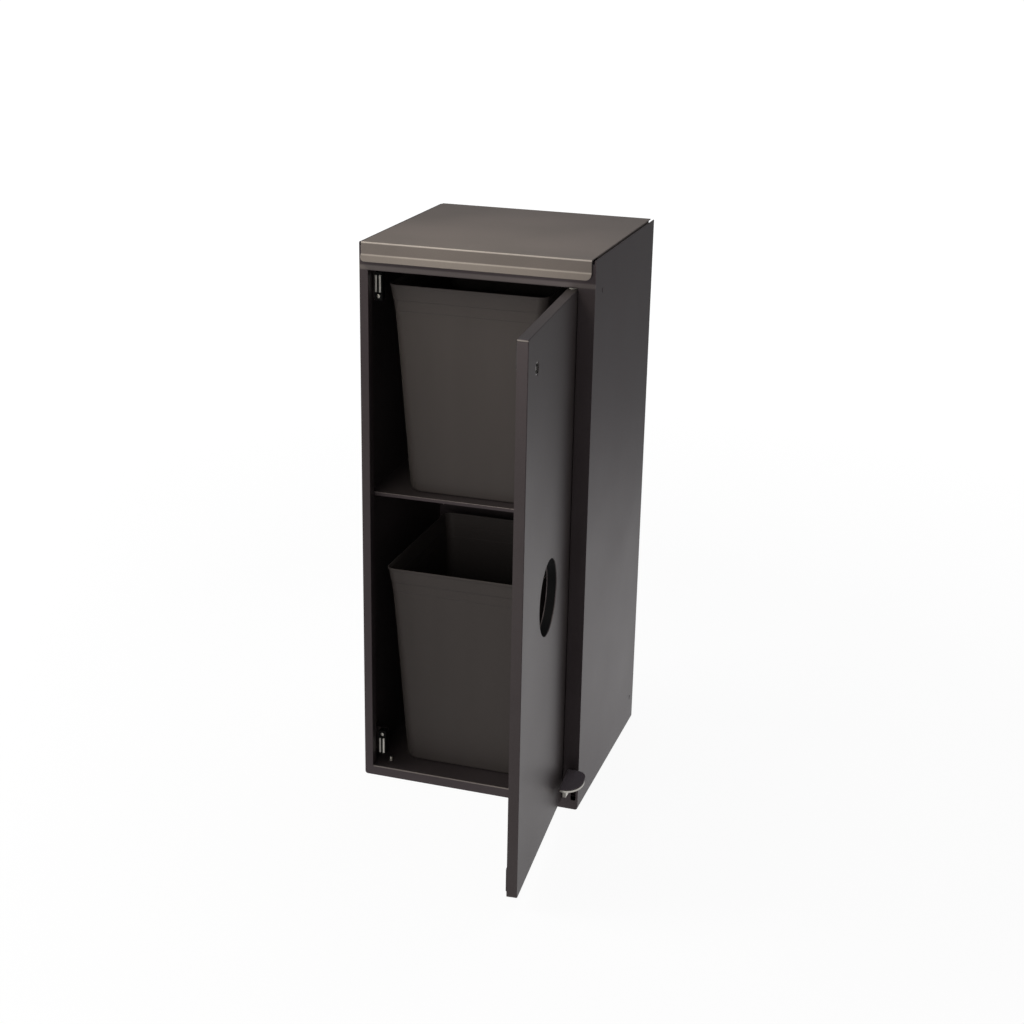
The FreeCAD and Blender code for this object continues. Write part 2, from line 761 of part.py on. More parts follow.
def countersunk(x, z):
    """Cone of a flush screw head in a strike plate."""
    return Part.makeCone(strike_screw_r, strike_screw_head_r, sheet_t, Vector(x, door_t, z), Vector(0, 1, 0))


def strike_screws():
    cones = [countersunk(x, z) for place in strike_places() for x, z in strike_screw_places(place)]
    return Part.Compound([joined([a, b]) for a, b in zip(cones, strike_screw_shanks())])


def lock_body():
    """Round body in the door, with a recess in front for the key."""
    y0 = lock_face_in
    y1 = door_t + lock_behind_door
    body = rod_along("y", lock_r, lock_x, y0, lock_z, y1 - y0)
    body = fillet_where(body, lock_face_r, lambda b, n: near(b.YMax, y0))
    recess = rod_along("y", lock_recess_r, lock_x, y0 - 1, lock_z, lock_recess - y0 + 1)
    bore = rod_along("y", lock_shaft_r + run_fit, lock_x, 0, lock_z, 2 * door_t)
    return body.cut(recess).cut(bore)


def lock_nut():
    r = lock_nut_r
    half = lock_nut_half_flats
    nut = rod_along("y", r, lock_x, sheet_t, lock_z, lock_nut_t)
    bar = box(lock_x - r, lock_x + r, sheet_t, sheet_t + lock_nut_t, lock_z - half, lock_z + half)
    return nut.common(bar).cut(rod_along("y", lock_r + run_fit, lock_x, 0, lock_z, door_t))


def cam_start():
    return door_t + cam_gap


def lock_insert():
    """Turning core: three-sided key drive in front, round stub behind that carries the cam."""
    y0 = lock_recess + seat_gap
    core = rod_along("y", lock_shaft_r, lock_x, y0, lock_z, cam_start() - y0)
    stub = rod_along("y", cam_stub_r, lock_x, cam_start(), lock_z, cam_t)
    r = lock_drive_side / sqrt(3)
    ring = [Vector(lock_x + r * sin(radians(120 * i)), lock_drive_in, lock_z + r * cos(radians(120 * i)))
            for i in range(4)]
    drive = Part.Face(Part.makePolygon(ring)).extrude(Vector(0, y0 - lock_drive_in, 0))
    hole = cam_screw_shank()
    return joined([core, stub, drive]).cut(hole)


def cam_screw_shank():
    length = cam_screw_reach + cam_t
    return rod_along("y", cam_screw_shank_r, lock_x, cam_start() - cam_screw_reach, lock_z, length)


def lock_cam():
    """Flat tongue that hangs down when unlocked and turns a quarter to reach behind the stile."""
    y0 = cam_start()
    bar = box(lock_x - cam_w / 2, lock_x + cam_w / 2, y0, y0 + cam_t, lock_z - cam_reach,
              lock_z + cam_w / 2)
    bar = fillet_where(bar, cam_corner_r, lambda b, n: near(n, cam_t))
    return bar.cut(rod_along("y", cam_stub_r, lock_x, 0, lock_z, 2 * door_t))


def lock_cam_screw():
    y0 = cam_start() + cam_t
    head = rod_along("y", cam_screw_r, lock_x, y0, lock_z, cam_screw_h)
    head = fillet_where(head, screw_head_edge_r, lambda b, n: near(b.YMin, y0 + cam_screw_h))
    return joined([head, cam_screw_shank()])


# ---------------------------------------------------------------- lid
def lid_panel():
    """Folded sheet: top, front flange and a lip that kicks out below it; short side flanges."""
    t = sheet_t
    x0 = lid_side_gap
    x1 = width - lid_side_gap
    y0 = -lid_front
    rear = lid_axis_y + lid_behind_pin
    crease = lid_top - lid_drop
    run = hypot(lip_out, lip_drop)
    ny = lip_drop / run
    nz = lip_out / run
    inner_crease = crease - t * (1 - ny) / nz
    points = [(rear, lid_top), (y0, lid_top), (y0, crease), (y0 - lip_out, crease - lip_drop),
              (y0 - lip_out + t * ny, crease - lip_drop - t * nz), (y0 + t, inner_crease),
              (y0 + t, lid_under), (rear, lid_under)]
    solid = side_profile(points, x0, x1)
    sides = [box(x, x + t, lid_flange_front, lid_axis_y - lid_flange, lid_under - lid_flange, lid_top)
             for x in (x0, x1 - t)]
    solid = joined([solid] + sides)
    solid = fillet_where(solid, lip_corner_r, lambda b, n: near(n, t) and b.ZMax < crease - 2 * t
                         and (near(b.XMax, x0) or near(b.XMin, x1)))
    solid = fillet_where(solid, lid_bend_r, lambda b, n: runs_at(b, YMax=y0, ZMin=lid_top))
    return fillet_where(solid, lid_side_bend_r, lambda b, n: near(b.ZMin, lid_top) and n > depth / 2
                        and (near(b.XMax, x0) or near(b.XMin, x1)))


def knuckles(moving):
    """Start and length of each knuckle of one leaf; the first and last belong to the fixed leaf."""
    span = width - 2 * lid_hinge_inset
    step = span / knuckle_count
    start = 1 if moving else 0
    return [(lid_hinge_inset + i * step + knuckle_gap / 2, step - knuckle_gap)
            for i in range(start, knuckle_count, 2)]


def lid_barrels(moving):
    return [rod_along("x", knuckle_r, x, lid_axis_y, lid_axis_z, n) for x, n in knuckles(moving)]


def barrel_rooms(moving):
    """Room that one leaf leaves for the other leaf's knuckles."""
    r = knuckle_r + knuckle_gap
    return [box(x - knuckle_gap, x + n + knuckle_gap, lid_axis_y - r, lid_axis_y + r,
                lid_axis_z - r, lid_axis_z + r) for x, n in knuckles(not moving)]


def lid_fixed_leaf():
    x0 = lid_hinge_inset
    plate = box(x0, width - x0, back_inside - sheet_t, back_inside, lid_axis_z - leaf_drop, lid_axis_z)
    solid = joined([plate.cut(Part.Compound(barrel_rooms(False)))] + lid_barrels(False))
    bore = rod_along("x", lid_pin_r, 0, lid_axis_y, lid_axis_z, width)
    return solid.cut(Part.Compound([bore] + leaf_rivet_shanks()))


def lid_moving_leaf():
    x0 = lid_hinge_inset
    plate = box(x0, width - x0, lid_axis_y - leaf_reach, lid_axis_y, lid_under - sheet_t, lid_under)
    solid = joined([plate.cut(Part.Compound(barrel_rooms(True)))] + lid_barrels(True))
    return solid.cut(rod_along("x", lid_pin_r + run_fit, 0, lid_axis_y, lid_axis_z, width))


def lid_hinge_pin():
    x0 = lid_hinge_inset
    return rod_along("x", lid_pin_r, x0, lid_axis_y, lid_axis_z, width - 2 * x0)


def leaf_rivet_places():
    start = lid_hinge_inset + leaf_rivet_from_end
    step = (width - 2 * start) / (leaf_rivet_count - 1)
    z = (back_height + lid_axis_z - leaf_drop) / 2
    return [(start + i * step, z) for i in range(leaf_rivet_count)]


def leaf_rivet_shanks():
    return [rod_along("y", rivet_r, x, back_inside - sheet_t, z, 2 * sheet_t)
            for x, z in leaf_rivet_places()]


def leaf_rivets():
    heads = [rod_along("y", rivet_head_r, x, depth - panel_t, z, rivet_head_h)
             for x, z in leaf_rivet_places()]
    return Part.Compound([joined([a, b]) for a, b in zip(heads, leaf_rivet_shanks())])


def lid_buffer(x):
    """Rubber stop on the frame's top flange."""
    y = sheet_t + frame_shelf / 2
    height = lid_under - frame_top - seat_gap
    stop = rod_along("z", buffer_r, x, y, frame_top, height)
    return fillet_where(stop, buffer_edge_r, lambda b, n: near(b.ZMin, frame_top + height))


def crank_x():
    return rod_x + rod_r + crank_gap


def crank_slot(extra, x0, x1):
    """Round-ended slot along the line from the lid's hinge to the rod's upper end, grown by extra."""
    down = radians(half_lid_deg)
    ends = [throw * cos(down) - peg_end_gap, throw + peg_end_gap]
    r = rod_r + peg_side_gap + extra
    spots = [(lid_axis_y - d * cos(down), lid_axis_z - d * sin(down)) for d in ends]
    caps = [rod_along("x", r, x0, y, z, x1 - x0) for y, z in spots]
    across = (-r * sin(down), r * cos(down))
    ring = [(spots[0][0] + across[0], spots[0][1] + across[1]),
            (spots[1][0] + across[0], spots[1][1] + across[1]),
            (spots[1][0] - across[0], spots[1][1] - across[1]),
            (spots[0][0] - across[0], spots[0][1] - across[1])]
    return joined(caps + [side_profile(ring, x0, x1)])


def lid_crank():
    """Plate below the lid whose slot the push rod's upper end lifts."""
    x0 = crank_x()
    x1 = x0 + crank_t
    ear = crank_slot(crank_wall, x0, x1)
    b = ear.BoundBox
    neck = box(x0, x1, b.YMin, b.YMax, b.ZMin + b.ZLength / 2, lid_under)
    foot = box(x1 - crank_foot_w, x1, b.YMin, b.YMax, lid_under - sheet_t, lid_under)
    return joined([ear, neck, foot]).cut(crank_slot(0, x0 - 1, x1 + 1))


# ---------------------------------------------------------------- pedal and push rod
def pedal_outline(inset):
    """D shape seen from above: straight on the door's side, half round on the other."""
    left = pedal_left_x + inset
    r = pedal_r - inset
    back = -pedal_clear - inset
    front = back - 2 * r
    cx = pedal_left_x + pedal_stub
    a = Vector(left, back, 0)
    b = Vector(cx, back, 0)
    c = Vector(cx + r, back - r, 0)
    d = Vector(cx, front, 0)
    e = Vector(left, front, 0)
    edges = [Part.LineSegment(a, b).toShape(), Part.Arc(b, c, d).toShape(),
             Part.LineSegment(d, e).toShape(), Part.LineSegment(e, a).toShape()]
    return Part.Face(Part.Wire(edges))


def tilted(shape, top_offset):
    """Lays a piece drawn at height 0 on the pedal's sloping top, top_offset below it."""
    placed = shape.copy()
    placed.translate(Vector(0, 0, pedal_top_z - top_offset))
    placed.rotate(Vector(0, 0, pedal_top_z), Vector(1, 0, 0), pedal_tilt_deg)
    return placed


def pedal_plate():
    plate = pedal_outline(0).extrude(Vector(0, 0, pedal_plate_t))
    plate = fillet_where(plate, pedal_plate_corner_r,
                         lambda b, n: near(n, pedal_plate_t) and near(b.XMax, pedal_left_x))
    plate = fillet_where(plate, edge_r, lambda b, n: near(b.ZMax, 0))
    return tilted(plate, pedal_pad_t + pedal_plate_t)


def pedal_pad():
    pad = pedal_outline(pedal_pad_margin).extrude(Vector(0, 0, pedal_pad_t))
    left = pedal_left_x + pedal_pad_margin
    pad = fillet_where(pad, pedal_pad_corner_r, lambda b, n: near(n, pedal_pad_t) and near(b.XMax, left))
    pad = fillet_where(pad, edge_r, lambda b, n: near(b.ZMin, pedal_pad_t))
    return tilted(pad, pedal_pad_t)


def under_pedal(y):
    """Height of the pedal plate's underside at y, ahead of the cabinet."""
    slope = radians(pedal_tilt_deg)
    return pedal_top_z - (pedal_pad_t + pedal_plate_t) / cos(slope) + y * tan(slope)


def lever_slot():
    half = rod_r + lever_slot_gap
    reach = rear_arm * (1 / cos(radians(half_pedal_deg)) - 1) + lever_slot_gap
    slot = box(lever_x - 1, lever_x + lever_t + 1, rod_y - reach, rod_y + reach,
               rod_low_z - half, rod_low_z + half)
    ends = [rod_along("x", half, lever_x - 1, rod_y + s * reach, rod_low_z, lever_t + 2) for s in (-1, 1)]
    return joined([slot] + ends)


def pedal_lever():
    front = -pedal_clear - 2 * pedal_r * cos(radians(pedal_tilt_deg)) + lever_nose_in
    stile = -pedal_clear
    x0 = lever_x
    x1 = lever_x + lever_t
    tail = rod_y + rod_r + lever_tail
    half = lever_h / 2
    low = pedal_pivot_z - lever_below
    points = [(front, under_pedal(front)), (stile, under_pedal(stile)),
              (lever_bend_y, under_pedal(stile)), (pedal_pivot_y, pedal_pivot_z + half),
              (tail, rod_low_z + half), (tail, rod_low_z - half), (pedal_pivot_y, pedal_pivot_z - half),
              (lever_bend_y, low), (stile, low), (front, under_pedal(front) - lever_nose_h)]
    bar = side_profile(points, x0, x1)
    hub = rod_along("x", lever_hub_r, x0, pedal_pivot_y, pedal_pivot_z, lever_t)
    bore = rod_along("x", pivot_pin_r + pivot_bush_wall, x0 - 1, pedal_pivot_y, pedal_pivot_z,
                     lever_t + 2)
    return joined([bar, hub]).cut(Part.Compound([bore, lever_slot()]))


def pedal_bush():
    x0 = lever_x - pivot_bush_flange_t
    length = lever_t + 2 * pivot_bush_flange_t
    tube = rod_along("x", pivot_pin_r + pivot_bush_wall, x0, pedal_pivot_y, pedal_pivot_z, length)
    flanges = [rod_along("x", pivot_bush_flange_r, x, pedal_pivot_y, pedal_pivot_z, pivot_bush_flange_t)
               for x in (x0, lever_x + lever_t)]
    bore = rod_along("x", pivot_pin_r + run_fit, x0 - 1, pedal_pivot_y, pedal_pivot_z, length + 2)
    return joined([tube] + flanges).cut(bore)


def bracket_ears():
    """Inner faces of the pedal bracket's two ears."""
    gap = pivot_bush_flange_t + seat_gap
    return lever_x - gap, lever_x + lever_t + gap


def pedal_bracket():
    """Two ears on a foot; the right ear lies against the side panel."""
    in0, in1 = bracket_ears()
    y0 = pedal_pivot_y - bracket_half
    y1 = pedal_pivot_y + bracket_half
    z1 = pedal_pivot_z + bracket_above
    x0 = in0 - bracket_t
    x1 = min(in1 + bracket_t, width - panel_t)
    ears = [box(x0, in0, y0, y1, sill_h, z1), box(in1, x1, y0, y1, sill_h, z1)]
    base = box(x0 - bracket_foot_w, x1, y0, y1, sill_h, sill_h + bracket_t)
    solid = joined(ears + [base])
    solid = fillet_where(solid, bracket_ear_r, lambda b, n: near(b.ZMin, z1) and near(b.XLength, n)
                         and n < 2 * bracket_t)
    return solid.cut(rod_along("x", pivot_pin_r, x0 - 1, pedal_pivot_y, pedal_pivot_z, x1 - x0 + 2))


def pedal_pivot_pin():
    in0, in1 = bracket_ears()
    x0 = in0 - bracket_t
    x1 = min(in1 + bracket_t, width - panel_t)
    shaft = rod_along("x", pivot_pin_r, x0, pedal_pivot_y, pedal_pivot_z, x1 - x0)
    head = rod_along("x", pin_head_r, x0 - pin_head_h, pedal_pivot_y, pedal_pivot_z, pin_head_h)
    return joined([shaft, head])


def push_rod():
    """Round bar bent over at both ends; the ends are the pegs in the lever and in the crank."""
    low_end = Vector(lever_x + lever_t + low_peg_out, rod_y, rod_low_z)
    high_end = Vector(crank_x() + crank_t + high_peg_out, rod_y, rod_high_z)
    low = Vector(rod_x, rod_y, rod_low_z)
    high = Vector(rod_x, rod_y, rod_high_z)
    r = rod_bend_r - rod_r
    side = Vector(r, 0, 0)
    up = Vector(0, 0, r)
    skew = Vector(r * (1 - cos(radians(45))), 0, 0)
    rise = Vector(0, 0, r * (1 - sin(radians(45))))
    edges = [Part.LineSegment(low_end, low + side).toShape(),
             Part.Arc(low + side, low + skew + rise, low + up).toShape(),
             Part.LineSegment(low + up, high - up).toShape(),
             Part.Arc(high - up, high + skew - rise, high + side).toShape(),
             Part.LineSegment(high + side, high_end).toShape()]
    circle = Part.Wire(Part.makeCircle(rod_r, low_end, Vector(1, 0, 0)))
    return Part.Wire(edges).makePipeShell([circle], True, False)


def rod_guide(z_top, foot_low):
    """Angle on the right panel with a hole that the push rod slides in."""
    x1 = width - panel_t
    y0 = rod_y - rod_r - guide_wall
    y1 = panel_rivet_back_y + 2 * rivet_head_r
    plate = box(rod_x - rod_r - guide_wall, x1, y0, y1, z_top - guide_t, z_top)
    foot = box(x1 - sheet_t, x1, y0, y1, foot_low, z_top)
    bore = rod_along("z", rod_r + run_fit, rod_x, rod_y, 0, side_height)
    rivet = rod_along("x", rivet_r, x1 - 2 * sheet_t, panel_rivet_back_y, panel_rivet_low_z, 3 * sheet_t)
    return joined([plate, foot]).cut(Part.Compound([bore, rivet]))


def lower_rod_guide():
    return rod_guide(lower_guide_z, panel_rivet_low_z - 2 * rivet_head_r)


def upper_rod_guide():
    return rod_guide(upper_guide_z, upper_guide_z - guide_foot_h)


# ---------------------------------------------------------------- inner bins
def rounded_ring(inset, r, z):
    """Rounded rectangle, inset from the bin's rim, as a wire at height z."""
    x0 = bin_left + inset
    x1 = bin_left + bin_w - inset
    y0 = bin_front + inset
    y1 = bin_front + bin_d - inset
    k = r * (1 - cos(radians(45)))
    edges = [Part.LineSegment(Vector(x0 + r, y0, z), Vector(x1 - r, y0, z)).toShape(),
             Part.Arc(Vector(x1 - r, y0, z), Vector(x1 - k, y0 + k, z), Vector(x1, y0 + r, z)).toShape(),
             Part.LineSegment(Vector(x1, y0 + r, z), Vector(x1, y1 - r, z)).toShape(),
             Part.Arc(Vector(x1, y1 - r, z), Vector(x1 - k, y1 - k, z), Vector(x1 - r, y1, z)).toShape(),
             Part.LineSegment(Vector(x1 - r, y1, z), Vector(x0 + r, y1, z)).toShape(),
             Part.Arc(Vector(x0 + r, y1, z), Vector(x0 + k, y1 - k, z), Vector(x0, y1 - r, z)).toShape(),
             Part.LineSegment(Vector(x0, y1 - r, z), Vector(x0, y0 + r, z)).toShape(),
             Part.Arc(Vector(x0, y0 + r, z), Vector(x0 + k, y0 + k, z), Vector(x0 + r, y0, z)).toShape()]
    return Part.Wire(edges)


def bin_span(z0, height, low, high, out):
    """Tapered block between two shares of the bin's height; out moves its sides outwards."""
    rings = []
    for share in (low, high):
        inset = bin_lip_out + bin_taper * (1 - share) - out
        r = bin_base_r + (bin_rim_r - bin_base_r) * share + min(out, 0)
        rings.append(rounded_ring(inset, r, z0 + height * share))
    return Part.makeLoft(rings, True, True)


def inner_bin(z0, height):
    body = bin_span(z0, height, 0.0, 1.0, 0.0)
    band = bin_span(z0, height, 1 - bin_band_h / height, 1.0, bin_band_out)
    lip = bin_span(z0, height, 1 - bin_lip_h / height, 1.0, bin_lip_out)
    hollow = bin_span(z0, height, 0.0, 1.0, -bin_wall)
    floor = box(0, width, 0, depth, z0 - 1, z0 + bin_wall)
    return joined([body, band, lip]).cut(hollow.cut(floor))


def upper_bin():
    return inner_bin(shelf_top, upper_bin_h)


def lower_bin():
    solid = inner_bin(sill_h, lower_bin_h)
    solid.translate(Vector(-lower_bin_aside, 0, 0))
    return solid


# ---------------------------------------------------------------- export
def export(name, shape):
    placed = shape.copy()
    placed.translate(Vector(-width / 2, -depth / 2, 0))
    placed.exportStep(os.path.join("parts", name + ".step"))


cabinet_pieces = {
    "side_panel_left": left_panel,
    "side_panel_right": right_panel,
    "back_panel": back_panel,
    "front_frame": front_frame,
    "floor_panel": floor_panel,
    "floor_stiffener": floor_stiffener,
    "levelling_feet": levelling_feet,
    "foot_locknuts": foot_nuts,
    "shelf": shelf,
    "corner_angle": corner_angle,
    "panel_rivets": panel_rivets,
    "back_rivets": back_rivets,
    "lower_catch_bracket": lambda: catch_piece(catch_bracket, False),
    "upper_catch_bracket": lambda: catch_piece(catch_bracket, True),
    "lower_catch_housing": lambda: catch_piece(catch_housing, False),
    "upper_catch_housing": lambda: catch_piece(catch_housing, True),
    "lower_catch_poles": lambda: catch_piece(catch_poles, False),
    "upper_catch_poles": lambda: catch_piece(catch_poles, True),
    "lower_catch_magnet": lambda: catch_piece(magnet_box, False),
    "upper_catch_magnet": lambda: catch_piece(magnet_box, True),
    "catch_fasteners": catch_fasteners,
    "lower_hinge_pin": lambda: hinge_pin(sill_h - sheet_t, True),
    "upper_hinge_pin": lambda: hinge_pin(opening_top, False),
    "lid_hinge_fixed_leaf": lid_fixed_leaf,
    "lid_hinge_pin": lid_hinge_pin,
    "lid_hinge_rivets": leaf_rivets,
    "lid_buffer_left": lambda: lid_buffer(buffer_inset),
    "lid_buffer_right": lambda: lid_buffer(width - buffer_inset),
    "pedal_bracket": pedal_bracket,
    "pedal_pivot_pin": pedal_pivot_pin,
    "lower_rod_guide": lower_rod_guide,
    "upper_rod_guide": upper_rod_guide,
}

door_pieces = {
    "door_panel": door_panel,
    "door_back_plate": door_back_plate,
    "door_hole_ring": door_hole_ring,
    "lower_hinge_block": lower_hinge_block,
    "upper_hinge_block": upper_hinge_block,
    "lower_hinge_bush": lower_hinge_bush,
    "upper_hinge_bush": upper_hinge_bush,
    "lower_strike_plate": lambda: strike_plate(strike_places()[0]),
    "upper_strike_plate": lambda: strike_plate(strike_places()[1]),
    "strike_screws": strike_screws,
    "lock_body": lock_body,
    "lock_nut": lock_nut,
    "lock_insert": lock_insert,
    "lock_cam": lock_cam,
    "lock_cam_screw": lock_cam_screw,
}

moving_pieces = {
    "lid_panel": lid_panel,
    "lid_hinge_moving_leaf": lid_moving_leaf,
    "lid_crank": lid_crank,
    "pedal_plate": pedal_plate,
    "pedal_pad": pedal_pad,
    "pedal_lever": pedal_lever,
    "pedal_bush": pedal_bush,
    "push_rod": push_rod,
    "upper_bin": upper_bin,
    "lower_bin": lower_bin,
}

os.makedirs("parts", exist_ok=True)
for name, build in {**cabinet_pieces, **moving_pieces}.items():
    export(name, build())
for name, build in door_pieces.items():
    export(name, opened(build()))
print("push rod at y", rod_y, "ends at z", rod_low_z, rod_high_z, "lift", rod_lift)
print("lid axis y, z", lid_axis_y, lid_axis_z, "door axis x, y", hinge_x, hinge_y)
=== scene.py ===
import json
import bmesh
import bpy
import numpy as np
from mathutils import Matrix, Vector


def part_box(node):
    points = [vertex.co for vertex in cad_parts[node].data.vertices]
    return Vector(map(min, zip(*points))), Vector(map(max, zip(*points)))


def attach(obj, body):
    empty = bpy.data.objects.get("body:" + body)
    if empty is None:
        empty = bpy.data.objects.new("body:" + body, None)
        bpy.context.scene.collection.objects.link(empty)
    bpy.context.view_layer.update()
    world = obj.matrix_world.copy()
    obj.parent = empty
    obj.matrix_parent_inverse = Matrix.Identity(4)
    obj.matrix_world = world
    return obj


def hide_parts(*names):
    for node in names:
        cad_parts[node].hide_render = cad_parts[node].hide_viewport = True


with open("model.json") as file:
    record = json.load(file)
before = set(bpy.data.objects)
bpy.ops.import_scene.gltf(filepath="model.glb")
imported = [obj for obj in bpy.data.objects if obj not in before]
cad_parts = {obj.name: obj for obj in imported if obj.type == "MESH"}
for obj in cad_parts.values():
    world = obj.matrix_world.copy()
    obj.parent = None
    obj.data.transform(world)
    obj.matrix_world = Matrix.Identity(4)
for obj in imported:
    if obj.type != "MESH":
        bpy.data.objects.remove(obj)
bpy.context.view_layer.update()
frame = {"nodes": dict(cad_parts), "record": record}
mm = 0.001
mergeReach = 0.001 * mm     # points nearer than this are one point
print("frame loaded:", len(frame["nodes"]), "nodes")


# Surfaces: grids of points, rows by columns, whose columns close into rings.

def asRow(values):
    return np.asarray(values, float)


def eased(share):        # 0 below 0, 1 above 1, and a smooth rise between
    share = np.clip(share, 0, 1)
    return share * share * (3 - 2 * share)


def gridMesh(name, grids):
    # Each cell of a grid is one quad; points at the same place, as at poles, are then merged.
    points, faces, start = [], [], 0
    for grid in grids:
        rows, columns = grid.shape[:2]
        index = start + np.arange(rows * columns).reshape(rows, columns)
        following = np.roll(index, -1, 1)
        quads = np.stack([index[:-1], following[:-1], following[1:], index[1:]], -1)
        points.append(grid.reshape(-1, 3))
        faces.append(quads.reshape(-1, 4))
        start += rows * columns
    mesh = bpy.data.meshes.new(name)
    mesh.from_pydata(np.concatenate(points).tolist(), [], np.concatenate(faces).tolist())
    tidy = bmesh.new()
    tidy.from_mesh(mesh)
    bmesh.ops.remove_doubles(tidy, verts=tidy.verts, dist=mergeReach)
    bmesh.ops.recalc_face_normals(tidy, faces=tidy.faces)
    tidy.to_mesh(mesh)
    tidy.free()
    return mesh


def addPiece(name, grids, body, slotName, nodes, sharpAngle=40):
    mesh = gridMesh(name, grids)
    mesh.shade_smooth()
    mesh.set_sharp_from_angle(angle=np.radians(sharpAngle))
    mesh.materials.append(finishes[slotName])
    piece = bpy.data.objects.new(name, mesh)
    bpy.context.scene.collection.objects.link(piece)
    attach(piece, body)
    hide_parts(*nodes)
    return piece


def revolved(radii, heights, around):
    # x = radius * cos(angle), y = radius * sin(angle), z = height, one ring for each pair
    angle = np.linspace(0, 2 * np.pi, around, endpoint=False)
    radius = asRow(radii)[:, None]
    height = asRow(heights)[:, None] + 0 * angle
    return np.stack([radius * np.cos(angle), radius * np.sin(angle), height], -1)


def placed(grid, origin, axis):
    # Turns local +Z onto the axis and moves the local origin there.
    turn = np.array(Vector(axis).to_track_quat("Z", "Y").to_matrix())
    return grid @ turn.T + asRow(origin)


def roundedRings(halfX, halfY, corner, cornerSteps=12, sideSteps=16):
    # Rings of a rounded rectangle, one for each entry: every corner is a quarter circle about its
    # own centre, and every side runs straight on to the next corner.
    turn = np.linspace(0, np.pi / 2, cornerSteps + 1)
    share = np.linspace(0, 1, sideSteps + 1)[1:-1, None]
    arcs = []
    for quarter, (signX, signY) in enumerate(((1, 1), (-1, 1), (-1, -1), (1, -1))):
        angle = turn + quarter * np.pi / 2
        x = (signX * (halfX - corner))[:, None] + corner[:, None] * np.cos(angle)
        y = (signY * (halfY - corner))[:, None] + corner[:, None] * np.sin(angle)
        arcs.append(np.stack([x, y], -1))
    rings = []
    for arc, following in zip(arcs, arcs[1:] + arcs[:1]):
        side = arc[:, -1:] + (following[:, :1] - arc[:, -1:]) * share
        rings += [arc, side]
    return np.concatenate(rings, 1)


def solidBoxes(node):
    # Lowest and highest corner of each separate solid of a CAD node.
    copy = bmesh.new()
    copy.from_mesh(frame["nodes"][node].data)
    bmesh.ops.remove_doubles(copy, verts=copy.verts, dist=mergeReach)
    waiting = set(copy.verts)
    boxes = []
    while waiting:
        edge = [waiting.pop()]
        found = list(edge)
        while edge:
            vertex = edge.pop()
            near = [e.other_vert(vertex) for e in vertex.link_edges]
            new = [v for v in near if v in waiting]
            waiting.difference_update(new)
            edge += new
            found += new
        places = np.array([v.co[:] for v in found])
        boxes.append((places.min(0), places.max(0)))
    copy.free()
    return sorted(boxes, key=lambda corners: tuple(np.round(corners[0], 5)))


# Shader sums: an output socket that adds a Math node for each operator.

class Wire:
    def __init__(self, graph, socket):
        self.graph = graph
        self.socket = socket

    def maths(self, operation, first, second):
        return self.graph.add("ShaderNodeMath", {"operation": operation}, {0: first, 1: second})

    def __add__(self, other):
        return self.maths("ADD", self, other)

    def __radd__(self, other):
        return self.maths("ADD", other, self)

    def __sub__(self, other):
        return self.maths("SUBTRACT", self, other)

    def __rsub__(self, other):
        return self.maths("SUBTRACT", other, self)

    def __mul__(self, other):
        return self.maths("MULTIPLY", self, other)

    def __rmul__(self, other):
        return self.maths("MULTIPLY", other, self)


class Graph:
    def __init__(self, tree):
        self.tree = tree
        tree.nodes.clear()

    def add(self, kind, settings=None, sockets=None, out=0):
        # One node: its settings first, then a value or a link for each named socket.
        node = self.tree.nodes.new(kind)
        for key, value in (settings or {}).items():
            if key == "stops":
                ramp = node.color_ramp.elements
                while len(ramp) < len(value):
                    ramp.new(0.5)
                for stop, (place, shade) in zip(ramp, value):
                    stop.position = place
                    stop.color = (shade, shade, shade, 1)
            else:
                setattr(node, key, value)
        for key, value in (sockets or {}).items():
            into = node.inputs[key]
            if isinstance(value, Wire):
                self.tree.links.new(value.socket, into)
            else:
                into.default_value = value
        return Wire(self, node.outputs[out]) if len(node.outputs) else None

    def places(self):
        return self.add("ShaderNodeTexCoord", out="Object")

    def noise(self, scale, detail=2.0, stretch=(1, 1, 1), roughness=0.5):
        # Soft random value about 0.5, with that many waves to the metre.
        spread = self.add("ShaderNodeMapping", None, {"Vector": self.places(), "Scale": stretch})
        return self.add("ShaderNodeTexNoise", None, {"Vector": spread, "Scale": scale,
                                                    "Detail": detail, "Roughness": roughness})

    def ramp(self, value, stops):
        return self.add("ShaderNodeValToRGB", {"stops": stops}, {"Fac": value})

    def mixed(self, share, first, second):
        return self.add("ShaderNodeMix", {"data_type": "RGBA"}, {0: share, 6: first, 7: second}, out=2)

    def bump(self, height, strength, distance):
        return self.add("ShaderNodeBump", None, {"Height": height, "Strength": strength,
                                                 "Distance": distance})

    def surface(self, shader):
        self.add("ShaderNodeOutputMaterial", None, {"Surface": shader})


def newMaterial(name):
    material = bpy.data.materials.new(name)
    material.use_nodes = True
    return material, Graph(material.node_tree)


def shade(red, green, blue):        # screen colour, 0 to 255, as linear light
    values = asRow([red, green, blue]) / 255
    linear = np.where(values <= 0.04045, values / 12.92, ((values + 0.055) / 1.055) ** 2.4)
    return (*linear.tolist(), 1.0)


